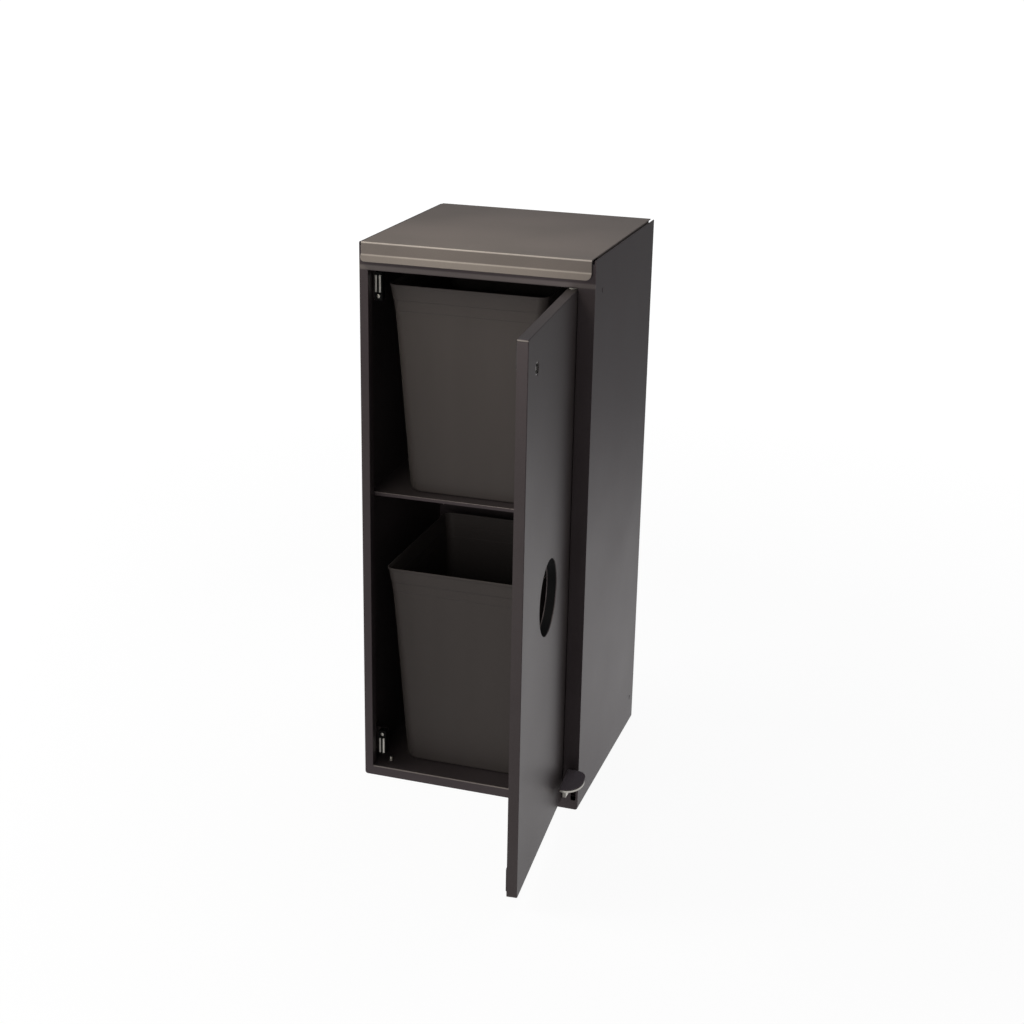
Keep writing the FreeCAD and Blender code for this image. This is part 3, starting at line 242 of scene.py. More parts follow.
coatLook = {
    "dark": (52, 47, 48),
    "light": (58, 53, 54),
    "cloudScale": 6.0,          # waves to the metre, as in every scale below
    "grainScale": 900.0,        # fine texture of the powder
    "peelScale": 160.0,
    "cloudStops": [(0.35, 0.0), (0.65, 1.0)],      # share of the light colour
    "fleckStops": [(0.3, 0.88), (0.7, 1.06)],      # what the grain does to the colour
    "roughness": 0.42,
    "cloudGloss": 0.10,         # how far clouds, grain and the painted highlight lines move the roughness
    "grainGloss": 0.12,
    "wornGloss": 0.1,
    "specular": 0.5,
    "tint": (1.0, 0.83, 0.88, 1.0),
    "grainShare": 0.6,          # of the bump, the rest of which is peel
    "bumpStrength": 0.35,
    "bumpDepth": 0.05 * mm,
    "bare": (176, 168, 161),    # painted highlight colour along folds and edges, standing in for light caught there
    "wornCore": 0.35,           # share of a line's reach that takes the painted highlight in full
    "worn": [],                 # (middle, half length, reach, share) of each painted highlight line that runs across
}


def highlightLine(graph, middle, half, reach, core):
    # Mask of a painted highlight line: 1 on a line along X of that middle and half length, easing to 0
    # at the reach from it.
    # Distance = length of (how far x lies past the line's ends, and the offsets in y and z).
    away = graph.add("ShaderNodeVectorMath", {"operation": "SUBTRACT"}, {0: graph.places(), 1: middle})
    away = graph.add("ShaderNodeVectorMath", {"operation": "ABSOLUTE"}, {0: away})
    away = graph.add("ShaderNodeVectorMath", {"operation": "SUBTRACT"}, {0: away, 1: (half, 0, 0)})
    away = graph.add("ShaderNodeVectorMath", {"operation": "MAXIMUM"}, {0: away, 1: (0, 0, 0)})
    distance = graph.add("ShaderNodeVectorMath", {"operation": "LENGTH"}, {0: away}, out="Value")
    return graph.add("ShaderNodeMapRange", {"interpolation_type": "SMOOTHSTEP"}, {
        "Value": distance, "From Min": core * reach, "From Max": reach, "To Min": 1.0, "To Max": 0.0})


def coatFinish(name, extra):
    # Fine-textured powder coat: two sizes of grain in the bump, faint cloudiness, and painted
    # highlights along folds and edges.
    look = coatLook | extra
    material, graph = newMaterial(name)
    clouds = graph.noise(look["cloudScale"], detail=3.0)
    grain = graph.noise(look["grainScale"])
    peel = graph.noise(look["peelScale"], detail=1.0)
    colour = graph.mixed(graph.ramp(clouds, look["cloudStops"]),
                         shade(*look["dark"]), shade(*look["light"]))
    fleck = graph.ramp(grain, look["fleckStops"])
    colour = graph.add("ShaderNodeVectorMath", {"operation": "MULTIPLY"}, {0: colour, 1: fleck})
    gloss = (look["roughness"] + (clouds - 0.5) * look["cloudGloss"]
             + (grain - 0.5) * look["grainGloss"])
    # Each line mixes in the lighter highlight colour and lowers the roughness: a painted highlight
    # where light would catch a fold or edge.
    for middle, half, reach, share in look["worn"]:
        worn = highlightLine(graph, middle, half, reach, look["wornCore"]) * (0.5 + clouds)
        colour = graph.mixed(worn * share, colour, shade(*look["bare"]))
        gloss = gloss - worn * look["wornGloss"]
    height = grain * look["grainShare"] + peel * (1 - look["grainShare"])
    graph.surface(graph.add("ShaderNodeBsdfPrincipled", None, {
        "Base Color": colour,
        "Roughness": gloss,
        "Specular IOR Level": look["specular"],
        "Specular Tint": look["tint"],
        "Normal": graph.bump(height, look["bumpStrength"], look["bumpDepth"])}))
    return material


plasticLook = {
    "dark": (69, 64, 62),
    "light": (76, 71, 69),
    "flowScale": 5.0,
    "flowStretch": (4.0, 4.0, 0.7),
    "grainScale": 1400.0,
    "roughness": 0.55,
    "flowGloss": 0.12,
    "grainGloss": 0.08,
    "specular": 0.2,
    "bumpStrength": 0.3,
    "bumpDepth": 0.04 * mm,
}


def plasticFinish(name, extra):
    # Moulded plastic: spark-eroded grain, and faint upright flow marks.
    look = plasticLook | extra
    material, graph = newMaterial(name)
    flow = graph.noise(look["flowScale"], stretch=look["flowStretch"])
    grain = graph.noise(look["grainScale"])
    graph.surface(graph.add("ShaderNodeBsdfPrincipled", None, {
        "Base Color": graph.mixed(flow, shade(*look["dark"]), shade(*look["light"])),
        "Roughness": (look["roughness"] + (flow - 0.5) * look["flowGloss"]
                      + (grain - 0.5) * look["grainGloss"]),
        "Specular IOR Level": look["specular"],
        "Normal": graph.bump(grain, look["bumpStrength"], look["bumpDepth"])}))
    return material


steelLook = {
    "dark": (168, 165, 158),
    "light": (196, 194, 188),
    "markScale": 180.0,
    "markDetail": 4.0,
    "markRoughness": 0.6,
    "stretch": (1, 1, 1),
    "cloudScale": 40.0,
    "cloudShare": 0.6,          # of the colour's pattern, the rest of which is marks
    "stops": [(0.3, 0.0), (0.7, 1.0)],
    "roughness": 0.34,
    "markGloss": 0.16,
    "bumpStrength": 0.3,
    "bumpDepth": 0.01 * mm,
}


def steelFinish(name, extra):
    # Bare or plated metal: cloudy colour, and marks stretched along the way it was worked.
    look = steelLook | extra
    material, graph = newMaterial(name)
    marks = graph.noise(look["markScale"], look["markDetail"], look["stretch"], look["markRoughness"])
    clouds = graph.noise(look["cloudScale"])
    pattern = clouds * look["cloudShare"] + marks * (1 - look["cloudShare"])
    graph.surface(graph.add("ShaderNodeBsdfPrincipled", None, {
        "Base Color": graph.mixed(graph.ramp(pattern, look["stops"]),
                                  shade(*look["dark"]), shade(*look["light"])),
        "Metallic": 1.0,
        "Roughness": look["roughness"] + (marks - 0.5) * look["markGloss"],
        "Normal": graph.bump(marks, look["bumpStrength"], look["bumpDepth"])}))
    return material


rubberLook = {
    "dark": (90, 83, 88),
    "light": (102, 95, 100),
    "bloomScale": 120.0,
    "bloomDetail": 4.0,
    "grainScale": 1800.0,
    "roughness": 0.78,
    "bloomGloss": 0.2,
    "specular": 0.35,
    "bumpStrength": 0.4,
    "bumpDepth": 0.05 * mm,
}


def rubberFinish(name, extra):
    # Moulded rubber: dull, with a dry bloom in patches.
    look = rubberLook | extra
    material, graph = newMaterial(name)
    bloom = graph.noise(look["bloomScale"], look["bloomDetail"])
    grain = graph.noise(look["grainScale"], detail=1.0)
    graph.surface(graph.add("ShaderNodeBsdfPrincipled", None, {
        "Base Color": graph.mixed(bloom, shade(*look["dark"]), shade(*look["light"])),
        "Roughness": look["roughness"] + (bloom - 0.5) * look["bloomGloss"],
        "Specular IOR Level": look["specular"],
        "Normal": graph.bump(grain, look["bumpStrength"], look["bumpDepth"])}))
    return material


# Where the painted highlight lines lie, along folds and edges of the coat.
folds = {
    "lipOut": 8.0 * mm,          # the lid's lip, ahead of its front flange
    "lidTop": 1.2 * mm,          # from the lid's top to the middle of its front bend
    "lidStep": 21.4 * mm,        # from the lid's top to the fold above the lip
    "doorRound": 1.5 * mm,       # from the door's top corner in to the middle of its rounding
    "sill": 18.0 * mm,           # height of the opening's lower edge
    "sillRound": 0.3 * mm,
    "rail": 35.0 * mm,           # from the frame's top to the line above the opening
    "leftStile": 15.0 * mm,
    "rightStile": 28.5 * mm,
    "highlights": {                    # reach and share of each painted highlight line
        "lidTop": (1.9 * mm, 1.0),
        "lidStep": (2.6 * mm, 0.35),
        "door": (1.9 * mm, 0.85),
        "sill": (1.8 * mm, 0.5),
        "shelf": (1.2 * mm, 0.3),
        "rail": (5.5 * mm, 0.22),
    },
}


def acrossLine(low, high, y, z, place):
    reach, share = folds["highlights"][place]
    return ((low + high) / 2, y, z), (high - low) / 2, reach, share


frameLow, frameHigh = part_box("front_frame")
shelfLow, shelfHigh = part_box("shelf")
lidLow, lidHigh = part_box("lid_panel")
doorLow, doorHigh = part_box("door_panel")
flangeY = lidLow.y + folds["lipOut"]
# Painted highlight lines where light catches the lid's two folds, the door's top corner, the sill, the
# shelf's front edge and the rail above the opening.
lidFoldHighlights = [
    acrossLine(lidLow.x, lidHigh.x, flangeY, lidHigh.z - folds["lidTop"], "lidTop"),
    acrossLine(lidLow.x, lidHigh.x, flangeY, lidHigh.z - folds["lidStep"], "lidStep"),
]
doorCornerHighlights = [
    acrossLine(doorLow.x, doorHigh.x, doorLow.y + folds["doorRound"],
               doorHigh.z - folds["doorRound"], "door"),
]
cabinetEdgeHighlights = [
    acrossLine(frameLow.x + folds["leftStile"], frameHigh.x - folds["rightStile"],
               frameLow.y + folds["sillRound"], folds["sill"] - folds["sillRound"], "sill"),
    acrossLine(shelfLow.x, shelfHigh.x, shelfLow.y, shelfHigh.z, "shelf"),
    acrossLine(frameLow.x, frameHigh.x, frameLow.y, frameHigh.z - folds["rail"], "rail"),
]

finishes = {
    "body_coat": coatFinish("body coat", {"worn": cabinetEdgeHighlights}),
    "door_coat": coatFinish("door coat", {"dark": (58, 54, 53), "light": (65, 61, 60),
                                          "worn": doorCornerHighlights}),
    "lid_coat": coatFinish("lid coat", {"dark": (107, 100, 95), "light": (115, 107, 102),
                                        "roughness": 0.58, "tint": (1.0, 0.95, 0.92, 1.0),
                                        "worn": lidFoldHighlights}),
    "bin_plastic": plasticFinish("bin plastic", {}),
    "black_plastic": plasticFinish("catch plastic", {"dark": (7, 7, 8), "light": (11, 11, 12),
                                                     "roughness": 0.62, "specular": 0.1}),
    "nylon": plasticFinish("nylon", {"dark": (206, 202, 190), "light": (218, 215, 204),
                                     "roughness": 0.38, "specular": 0.45}),
    "zinc_steel": steelFinish("zinc plate", {}),
    "bare_steel": steelFinish("brushed steel", {"dark": (176, 172, 164), "light": (206, 203, 196),
                                                "stretch": (1, 30, 30), "markScale": 60.0}),
    "lock_metal": steelFinish("plated lock", {"dark": (188, 187, 184), "light": (214, 213, 210),
                                              "roughness": 0.18}),
    "magnet": steelFinish("magnet", {"dark": (52, 51, 50), "light": (70, 69, 67),
                                     "roughness": 0.6}),
    "black_zinc": steelFinish("black zinc", {"dark": (62, 60, 59), "light": (80, 78, 77),
                                             "roughness": 0.5}),
    "pedal_rubber": rubberFinish("pedal rubber", {}),
    "buffer_rubber": rubberFinish("buffer rubber", {"dark": (24, 23, 23), "light": (32, 31, 31)}),
}

ownFinish = {"lower_strike_plate": "black_zinc", "upper_strike_plate": "black_zinc"}
for part in frame["record"]["subparts"]:
    for materialSlot in frame["nodes"][part["node"]].material_slots:
        materialSlot.material = finishes[ownFinish.get(part["node"], part["material_slot"])]
print("finishes made:", len(finishes))


binShape = {
    "wall": 2.5 * mm,
    "taper": 21.0 * mm,          # each side, from rim to base
    "flare": 3.5 * mm,           # the part of the taper that the collar takes at once
    "flareDrop": 26.0 * mm,
    "rimCorner": 16.0 * mm,
    "baseCorner": 34.0 * mm,
    "lipOut": 2.0 * mm,
    "lipHeight": 4.0 * mm,
    "steps": [(27.0 * mm, 0.8 * mm), (45.0 * mm, 0.5 * mm)],    # how far below the rim, and how far out
    "stepBlend": 1.6 * mm,       # height over which a step runs out, and the lip below
    "lipBlend": 1.0 * mm,
    "baseRound": 4.0 * mm,
    "leastCorner": 3.0 * mm,
    "baseRaised": 2.0 * mm,
    "baseStep": (0.94, 0.03),    # where the raised part starts, and the width of the rise, as shares
    "baseRings": [0.97, 0.94, 0.925, 0.91, 0.6, 0.3, 0.0],
    "bow": 0.9 * mm,             # hollow of the flat sides
    "bowEdge": 9,                # power that keeps the hollow off the corners
    "standOff": 0.1 * mm,        # the base clears what it slides over
    "lipRings": (1.2 * mm, 6.0 * mm, 9),           # first and last depth, and how many
    "stepRings": (1.4 * mm, 7),  # how far to each side of a step, and how many
    "wallRings": (8.0 * mm, 26),
    "arcRings": 9,               # over a quarter circle into the base
    "rimRings": 11,              # over the half circle of the rim
}


def binGrid(low, high, s):
    # Outer wall: inset from the rim = (taper - flare) * depth / height + flare * (1 - a falling
    # exponential of the depth), less what each step adds above itself.  A quarter circle leads into
    # the base.  The inner wall is the same line, one wall thickness in, and a half circle over the
    # rim joins the two.
    height = high.z - low.z - s["standOff"]
    centre = asRow((low + high) / 2)
    halfX = (high.x - low.x) / 2
    halfY = (high.y - low.y) / 2

    def lean(depth):
        curve = 1 - np.exp(-depth / s["flareDrop"])
        return (s["taper"] - s["flare"]) * depth / height + s["flare"] * curve

    def until(depth, place, blend):
        return 1 - eased((depth - place) / blend + 0.5)

    def inset(depth):
        out = sum(size * until(depth, place, s["stepBlend"]) for place, size in s["steps"])
        lip = (s["lipOut"] - out) * until(depth, s["lipHeight"], s["lipBlend"])
        return s["lipOut"] - lip - out + lean(depth)

    nearStep, stepCount = s["stepRings"]
    fine = [np.linspace(place - nearStep, place + nearStep, stepCount) for place, size in s["steps"]]
    wallEnd = height - s["baseRound"]
    wallStart, wallCount = s["wallRings"]
    depths = np.unique(np.concatenate([np.linspace(*s["lipRings"]), *fine,
                                       np.linspace(wallStart, wallEnd, wallCount)]))
    quarter = np.linspace(0, np.pi / 2, s["arcRings"])[1:]
    half = np.linspace(0, np.pi, s["rimRings"])[1:-1]
    r = s["baseRound"]
    wall = s["wall"]

    outerDepth = np.concatenate([depths, wallEnd + r * np.sin(quarter)])
    outerInset = np.concatenate([inset(depths), inset(wallEnd) + r * (1 - np.cos(quarter))])
    innerDepth = np.concatenate([depths[depths < wallEnd - wall],
                                 height - wall - r + r * np.sin(quarter)])
    innerInset = np.concatenate([inset(depths[depths < wallEnd - wall]),
                                 inset(wallEnd - wall) + r * (1 - np.cos(quarter))]) + wall
    rimHalf = wall / 2
    rimInset = inset(depths[0]) + rimHalf - rimHalf * np.cos(half)
    rimDepth = depths[0] - depths[0] * np.sin(half)
    ringInset = np.concatenate([outerInset[::-1], rimInset, innerInset])
    ringDepth = np.concatenate([outerDepth[::-1], rimDepth, innerDepth])

    share = np.clip(ringDepth / height, 0, 1)
    corner = s["rimCorner"] + (s["baseCorner"] - s["rimCorner"]) * share
    corner = np.maximum(corner - np.clip(ringInset - lean(ringDepth), 0, r), s["leastCorner"])
    outline = roundedRings(halfX - ringInset, halfY - ringInset, corner)

    # The flat sides are hollow by a cosine across and a sine down.
    bow = (s["bow"] * np.sin(np.pi * share))[:, None]
    x = outline[..., 0] / (halfX - ringInset)[:, None]
    y = outline[..., 1] / (halfY - ringInset)[:, None]
    outline[..., 0] -= bow * np.sign(x) * np.cos(np.pi / 2 * y) ** 2 * np.abs(x) ** s["bowEdge"]
    outline[..., 1] -= bow * np.sign(y) * np.cos(np.pi / 2 * x) ** 2 * np.abs(y) ** s["bowEdge"]

    def floorRings(ring, depth):
        # From the wall's end towards the middle: a rim to stand on, a step up, and the pole.
        scales = asRow(s["baseRings"])
        stepAt, stepWidth = s["baseStep"]
        rise = s["baseRaised"] * eased((stepAt - scales) / stepWidth)
        flat = ring[None] * scales[:, None, None]
        level = np.broadcast_to((depth - rise)[:, None, None], (*flat.shape[:2], 1))
        return np.concatenate([flat, level], -1)

    wallRings = np.concatenate([outline, np.broadcast_to(ringDepth[:, None, None],
                                                         (*outline.shape[:2], 1))], -1)
    outside = floorRings(outline[0], ringDepth[0])[::-1]
    inside = floorRings(outline[-1], ringDepth[-1])
    grid = np.concatenate([outside, wallRings, inside])
    grid[..., 2] = high.z - grid[..., 2]
    grid[..., :2] += centre[:2]
    return grid


for name in ("upper_bin", "lower_bin"):
    addPiece(name.replace("bin", "bin_shell"), [binGrid(*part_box(name), binShape)],
             name + "_body", "bin_plastic", [name])
print("inner bins made")


padShape = {
    "tilt": 10.0,                # degrees down to the front
    "straight": 6.5 * mm,        # from the left edge to the centre of the round part
    "thickness": 2.0 * mm,
    "round": 0.6 * mm,
    "squareness": 14.0,
    "backFullness": 1.6,         # how much squarer than a circle the back right corner is
    "ribPitch": 3.2 * mm,
    "ribHeight": 0.35 * mm,
    "ribEnd": 0.9,               # ribs fade out at this share of the way to the edge
    "ribFade": 0.04,
    "around": 160,
    "rings": [(0.0, 0.96, 56), (0.965, 1.0, 9)],   # shares of the way out: first, last, how many
}


def padGrid(low, high, s):
    # D outline in polar form about the centre of its round part: on the right a circle that grows
    # squarer to the back, and on the left a rounded square of the straight length and that radius.
    radius = high.x - low.x - s["straight"]
    angle = np.linspace(0, 2 * np.pi, s["around"], endpoint=False)
    across = np.abs(np.cos(angle)) / s["straight"]
    along = np.abs(np.sin(angle)) / radius
    square = (across ** s["squareness"] + along ** s["squareness"]) ** (-1 / s["squareness"])
    power = 2 + s["backFullness"] * eased(2 * np.sin(angle))
    full = (np.abs(np.cos(angle)) ** power + np.abs(np.sin(angle)) ** power) ** (-1 / power)
    reach = np.where(np.cos(angle) >= 0, radius * full, square)
    share = np.concatenate([np.linspace(*part) for part in s["rings"]])[:, None]
    x = share * reach * np.cos(angle)
    y = share * reach * np.sin(angle)
    edge = np.clip((share - 1) * radius / s["round"] + 1, 0, 1)
    drop = s["round"] * (1 - np.sqrt(1 - edge ** 2))
    rib = 0.5 + 0.5 * np.cos(2 * np.pi * y / s["ribPitch"])
    fade = 1 - eased((share - s["ribEnd"]) / s["ribFade"])
    top = -drop - s["ribHeight"] * (1 - eased(2 * rib)) * fade
    under = np.full_like(top, -s["thickness"])
    rings = np.concatenate([np.stack([x, y, top], -1), np.stack([x, y, under], -1)[::-1]])
    tilt = np.radians(s["tilt"])
    backTop = high.y - s["thickness"] * np.sin(tilt)
    flatY = rings[..., 1] - radius
    grid = np.empty_like(rings)
    grid[..., 0] = low.x + s["straight"] + rings[..., 0]
    grid[..., 1] = backTop + flatY * np.cos(tilt) - rings[..., 2] * np.sin(tilt)
    grid[..., 2] = high.z + flatY * np.sin(tilt) + rings[..., 2] * np.cos(tilt)
    return grid


addPiece("pedal_tread", [padGrid(*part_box("pedal_pad"), padShape)], "pedal", "pedal_rubber",
         ["pedal_pad"], sharpAngle=60)
print("pedal tread made")


footShape = {
    "padHeight": 6.0 * mm,
    "padRound": 1.5 * mm,
    "studRadius": 4.0 * mm,
    "pitch": 1.25 * mm,
    "threadDepth": 0.7 * mm,
    "chamfer": 0.8 * mm,
    "around": 40,
    "arcRings": 6,
    "studRings": 160,
}


def footGrid(low, high, s):
    # Pad: a turned profile.  Stud: radius = root + depth * triangle wave of (height / pitch - turn).
    padRadius = (high[0] - low[0]) / 2
    r = s["padRound"]
    quarter = np.linspace(0, np.pi / 2, s["arcRings"])
    radii = np.concatenate([[0, padRadius - r, padRadius], padRadius - r + r * np.cos(quarter[1:]),
                            [s["studRadius"] + r]])
    heights = np.concatenate([[0, 0, r / 2], s["padHeight"] - r + r * np.sin(quarter[1:]),
                              [s["padHeight"]]])
    pad = revolved(radii, heights, s["around"])
    turn = np.linspace(0, 1, s["around"], endpoint=False)
    level = np.linspace(s["padHeight"], high[2] - low[2], s["studRings"])[:, None]
    wave = np.abs(2 * ((level / s["pitch"] - turn) % 1) - 1)
    end = np.clip((high[2] - low[2] - level) / s["chamfer"], 0, 1)
    radius = s["studRadius"] - s["threadDepth"] * wave * end - s["chamfer"] * (1 - end)
    angle = 2 * np.pi * turn
    stud = np.stack([radius * np.cos(angle), radius * np.sin(angle), level + 0 * angle], -1)
    cap = stud[-1:] * [0, 0, 1]
    return np.concatenate([pad, stud, cap]) + [(low[0] + high[0]) / 2, (low[1] + high[1]) / 2, low[2]]


nutShape = {
    "flats": 13.0 * mm,
    "bore": 4.0 * mm,
    "chamfer": 30.0,             # degrees
    "face": 0.96,                # radius of the flat faces, as a share of half the flats
    "levels": [0, 0, 0.1, 0.2, 0.35, 0.65, 0.8, 0.9, 1, 1],
    "around": 144,
}


def nutGrid(low, high, s):
    # Hexagon in polar form, radius = half flats / cos(angle from the middle of a flat), and never
    # more than the chamfer cone allows at that height.
    height = high[2] - low[2]
    angle = np.linspace(0, 2 * np.pi, s["around"], endpoint=False)
    half = s["flats"] / 2
    hexagon = half / np.cos((angle + np.pi / 6) % (np.pi / 3) - np.pi / 6)
    level = asRow(s["levels"])[:, None]
    inward = np.minimum(level, 1 - level) * height
    cone = s["face"] * half + inward / np.tan(np.radians(s["chamfer"]))
    radius = np.minimum(hexagon, cone)
    radius[0] = radius[-1] = s["bore"]
    rings = np.stack([radius * np.cos(angle), radius * np.sin(angle), level * height + 0 * angle], -1)
    rings = np.concatenate([rings, rings[:1]])
    return rings + [(low[0] + high[0]) / 2, (low[1] + high[1]) / 2, low[2]]


addPiece("threaded_feet", [footGrid(*corners, footShape) for corners in solidBoxes("levelling_feet")],
         "cabinet", "zinc_steel", ["levelling_feet"], sharpAngle=30)
addPiece("foot_nuts", [nutGrid(*corners, nutShape) for corners in solidBoxes("foot_locknuts")],
         "cabinet", "zinc_steel", ["foot_locknuts"], sharpAngle=25)
print("feet and nuts made")


screwShape = {
    "headHeight": 1.5 * mm,
    "shankRadius": 1.75 * mm,
    "rim": 0.35,                 # height at the head's edge, as a share of its height
    "power": 3.0,                # of the head's curve
    "slotWidth": 0.13,           # half width of the cross, as a share of the head's radius
    "slotLength": 0.58,
    "slotDepth": 0.75,           # share of the head's height
    "sideBlend": 0.05,           # eased edges of the cross
    "endBlend": 0.08,
    "rings": 30,
    "around": 64,
}


def screwGrid(headRadius, length, s):
    # Head: height = top * (1 - share ** power) above its rim; the cross is two eased bars sunk in it.
    angle = np.linspace(0, 2 * np.pi, s["around"], endpoint=False)
    share = np.linspace(0, 1, s["rings"])[:, None]
    x = share * np.cos(angle)
    y = share * np.sin(angle)

    def bar(across, along):
        return (eased((s["slotWidth"] - np.abs(across)) / s["sideBlend"] + 0.5)
                * eased((s["slotLength"] - np.abs(along)) / s["endBlend"] + 0.5))

    cross = np.maximum(bar(x, y), bar(y, x))
    dome = s["rim"] + (1 - s["rim"]) * (1 - share ** s["power"])
    height = s["headHeight"] * (dome - s["slotDepth"] * cross)
    top = np.stack([x * headRadius, y * headRadius, height], -1)
    shankEnd = s["headHeight"] - length
    shank = revolved([headRadius, s["shankRadius"], s["shankRadius"], 0],
                     [0, 0, shankEnd, shankEnd], s["around"])
    return np.concatenate([top, shank])


rivetShape = {
    "headRadius": 4.0 * mm,
    "headHeight": 1.0 * mm,
    "shankRadius": 2.4 * mm,
    "rim": 0.25,                 # height at the head's edge, as a share of its height
    "power": 2.4,
    "holeShare": 0.3,            # mandrel hole, as a share of the head's radius
    "holeBlend": 0.12,
    "holeDepth": 0.8 * mm,
    "rings": 18,
    "around": 40,
}


def rivetGrid(length, s):
    # Head: height = top * (1 - share ** power) above its rim, less an eased hole where the mandrel
    # broke off.
    share = np.linspace(0, 1, s["rings"])
    dome = s["headHeight"] * (s["rim"] + (1 - s["rim"]) * (1 - share ** s["power"]))
    hole = s["holeDepth"] * (1 - eased((share - s["holeShare"]) / s["holeBlend"] + 0.5))
    shankEnd = s["headHeight"] - length
    radii = np.concatenate([share * s["headRadius"],
                            [s["headRadius"], s["shankRadius"], s["shankRadius"], 0]])
    heights = np.concatenate([dome - hole, [0, 0, shankEnd, shankEnd]])
    return revolved(radii, heights, s["around"])


def rivetsAlongY(node):         # heads to the back
    grids = []
    for low, high in solidBoxes(node):
        x, y, z = (low + high) / 2
        grid = rivetGrid(high[1] - low[1], rivetShape)
        grids.append(placed(grid, (x, high[1] - rivetShape["headHeight"], z), (0, 1, 0)))
    return grids


def screwsAlongY(node):         # heads towards the door
    grids = []
    for low, high in solidBoxes(node):
        x, y, z = (low + high) / 2
        grid = screwGrid((high[0] - low[0]) / 2, high[1] - low[1], screwShape)
        grids.append(placed(grid, (x, low[1] + screwShape["headHeight"], z), (0, -1, 0)))
    return grids


addPiece("back_blind_rivets", rivetsAlongY("back_rivets"), "cabinet", "zinc_steel", ["back_rivets"])
addPiece("lid_blind_rivets", rivetsAlongY("lid_hinge_rivets"), "cabinet", "zinc_steel",
         ["lid_hinge_rivets"])
addPiece("catch_screws", screwsAlongY("catch_fasteners"), "cabinet", "zinc_steel",
         ["catch_fasteners"])
print("fasteners made")


# Camera, lamps, floor and surroundings.

view = {
    "place": (0.8903, -2.7871, 1.5243),
    "turn": 17.554,              # degrees to the left of straight ahead
    "pitch": 19.914,             # degrees down
    "roll": 1.092,
    "lens": 61.02,
    "sensor": 36.0,
}


def addCamera(s):
    turn, pitch, roll = np.radians([s["turn"], s["pitch"], s["roll"]])
    ahead = Vector((-np.sin(turn) * np.cos(pitch), np.cos(turn) * np.cos(pitch), -np.sin(pitch)))
    level = Vector((np.cos(turn), np.sin(turn), 0))
    up = level.cross(ahead)
    right = level * np.cos(roll) + up * np.sin(roll)
    above = up * np.cos(roll) - level * np.sin(roll)
    data = bpy.data.cameras.new("camera")
    data.lens = s["lens"]
    data.sensor_width = s["sensor"]
    camera = bpy.data.objects.new("camera", data)
    camera.matrix_world = (Matrix.Translation(s["place"])
                           @ Matrix((right, above, -ahead)).transposed().to_4x4())
    bpy.context.scene.collection.objects.link(camera)
    bpy.context.scene.camera = camera


lamps = [
    {"name": "key", "place": (-2.6, -0.85, 1.3), "aim": (0.0, -0.1, 0.6), "size": 1.5, "power": 44.0,
     "tint": (1.0, 0.985, 0.97), "spread": 180.0},
    {"name": "front", "place": (0.1, -2.2, 0.9), "aim": (0.0, -0.1, 0.8), "size": 1.0, "power": 8.2,
     "tint": (1.0, 0.97, 0.94), "spread": 180.0},
    {"name": "brow", "place": (-0.3, -0.65, 1.7), "aim": (0.0, -0.15, 0.95), "size": 0.4, "power": 0.75,
     "tint": (1.0, 0.95, 0.84), "spread": 60.0},
    {"name": "top", "place": (0.2, 0.9, 2.9), "aim": (0.0, 0.0, 0.9), "size": 1.6, "power": 13.0,
     "tint": (0.9, 0.91, 1.0), "spread": 180.0},
    {"name": "side", "place": (2.6, 0.2, 0.9), "aim": (0.1, -0.1, 0.2), "size": 1.4, "power": 5.5,
     "tint": (1.0, 0.94, 0.97), "spread": 180.0},
]


def addLamps():
    for s in lamps:
        data = bpy.data.lights.new(s["name"], "AREA")
        data.shape = "SQUARE"
        data.size = s["size"]
        data.energy = s["power"]
        data.color = s["tint"]
        data.spread = np.radians(s["spread"])
        lamp = bpy.data.objects.new(s["name"], data)
        place = Vector(s["place"])
        lamp.location = place
        lamp.visible_camera = False
        lamp.rotation_euler = (Vector(s["aim"]) - place).to_track_quat("-Z", "Y").to_euler()
        bpy.context.scene.collection.objects.link(lamp)


room = {
    "halfFloor": 25.0,
    "floorColour": (0.82, 0.82, 0.82, 1.0),
    "white": 1.06,               # strength of the floor's own white
    "whiteShare": 0.88,          # the rest of its look is matt and takes the shadow
    "shadowed": 1.0,             # up to here it takes the shadow in full
    "allWhite": 4.0,             # from here on there is no shadow to keep
    # glowMiddle to farPlace: a painted pool of light on the floor, seen only in gloss and glass, as a
    # painted reflection.
    "glowMiddle": (0.3, 0.5, 0.0),
    "nearGlow": 0.84,            # what glossy finishes see of the floor round the glow's middle, a painted pool of light
    "glowRadius": 0.2,
    "farGlow": 0.12,             # and of the floor far from it
    "farPlace": 1.9,
    "footprint": 0.18,           # no white under the cabinet, where holes look down on the floor
    "air": 0.16,                 # light from all round
    "airGlow": 0.16,             # what glossy finishes see above the floor
}


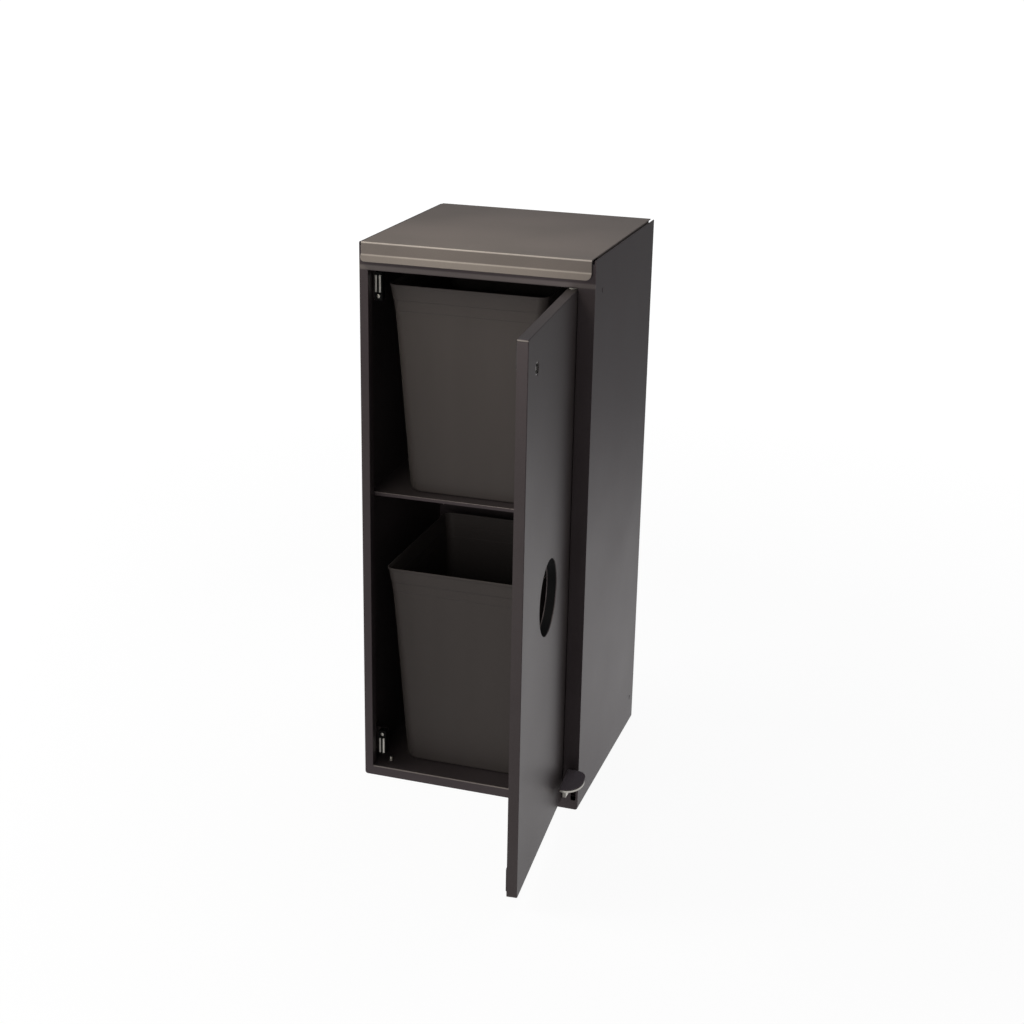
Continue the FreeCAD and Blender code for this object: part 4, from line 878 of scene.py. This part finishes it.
def addFloor(s):
    # White to the camera and in gloss and glass, less its shadow; the paper greys with distance. In
    # gloss and glass the floor is a painted pool of light round glowMiddle, a painted reflection that
    # fades away from it.
    material, graph = newMaterial("studio floor")
    camera = graph.add("ShaderNodeLightPath", out="Is Camera Ray")
    glossy = graph.add("ShaderNodeLightPath", out="Is Glossy Ray")
    through = graph.add("ShaderNodeLightPath", out="Is Transmission Ray")
    place = graph.places()
    distance = graph.add("ShaderNodeVectorMath", {"operation": "LENGTH"}, {0: place}, out="Value")
    # Painted pool of light for glossy and glass rays: nearGlow round glowMiddle, easing to farGlow at
    # farPlace.
    fromGlow = graph.add("ShaderNodeVectorMath", {"operation": "DISTANCE"},
                         {0: place, 1: s["glowMiddle"]}, out="Value")
    reach = graph.add("ShaderNodeMapRange", {"interpolation_type": "SMOOTHSTEP"}, {
        "Value": fromGlow, "From Min": s["glowRadius"], "From Max": s["farPlace"],
        "To Min": s["nearGlow"], "To Max": s["farGlow"]})
    paper = graph.add("ShaderNodeMapRange", None, {
        "Value": distance, "From Min": s["shadowed"], "From Max": s["allWhite"],
        "To Min": s["whiteShare"], "To Max": 1.0})
    side = graph.add("ShaderNodeVectorMath", {"operation": "ABSOLUTE"}, {0: place})
    x = graph.add("ShaderNodeSeparateXYZ", None, {0: side}, out="X")
    y = graph.add("ShaderNodeSeparateXYZ", None, {0: side}, out="Y")
    farther = graph.add("ShaderNodeMath", {"operation": "MAXIMUM"}, {0: x, 1: y})
    outside = graph.add("ShaderNodeMath", {"operation": "GREATER_THAN"},
                        {0: farther, 1: s["footprint"]})
    # Camera rays see the white paper; glossy and glass rays see the painted pool of light.
    share = outside * (camera * paper + (glossy + through) * reach)
    matt = graph.add("ShaderNodeBsdfDiffuse", None, {"Color": s["floorColour"]})
    white = graph.add("ShaderNodeEmission", None, {"Strength": s["white"]})
    graph.surface(graph.add("ShaderNodeMixShader", None, {0: share, 1: matt, 2: white}))
    half = s["halfFloor"]
    mesh = bpy.data.meshes.new("studio_floor")
    mesh.from_pydata([(-half, -half, 0), (half, -half, 0), (half, half, 0), (-half, half, 0)], [],
                     [(0, 1, 2, 3)])
    mesh.materials.append(material)
    floor = bpy.data.objects.new("studio_floor", mesh)
    bpy.context.scene.collection.objects.link(floor)


def addAir(s):
    world = bpy.data.worlds.new("studio air")
    world.use_nodes = True
    graph = Graph(world.node_tree)
    camera = graph.add("ShaderNodeLightPath", out="Is Camera Ray")
    glossy = graph.add("ShaderNodeLightPath", out="Is Glossy Ray")
    through = graph.add("ShaderNodeLightPath", out="Is Transmission Ray")
    strength = s["air"] + camera * (1 - s["air"]) + (glossy + through) * (s["airGlow"] - s["air"])
    sky = graph.add("ShaderNodeBackground", None, {"Color": (1, 1, 1, 1), "Strength": strength})
    graph.add("ShaderNodeOutputWorld", None, {"Surface": sky})
    bpy.context.scene.world = world


addCamera(view)
addLamps()
addFloor(room)
addAir(room)
bpy.context.scene.view_settings.view_transform = "Standard"
print("camera, lamps and floor made")
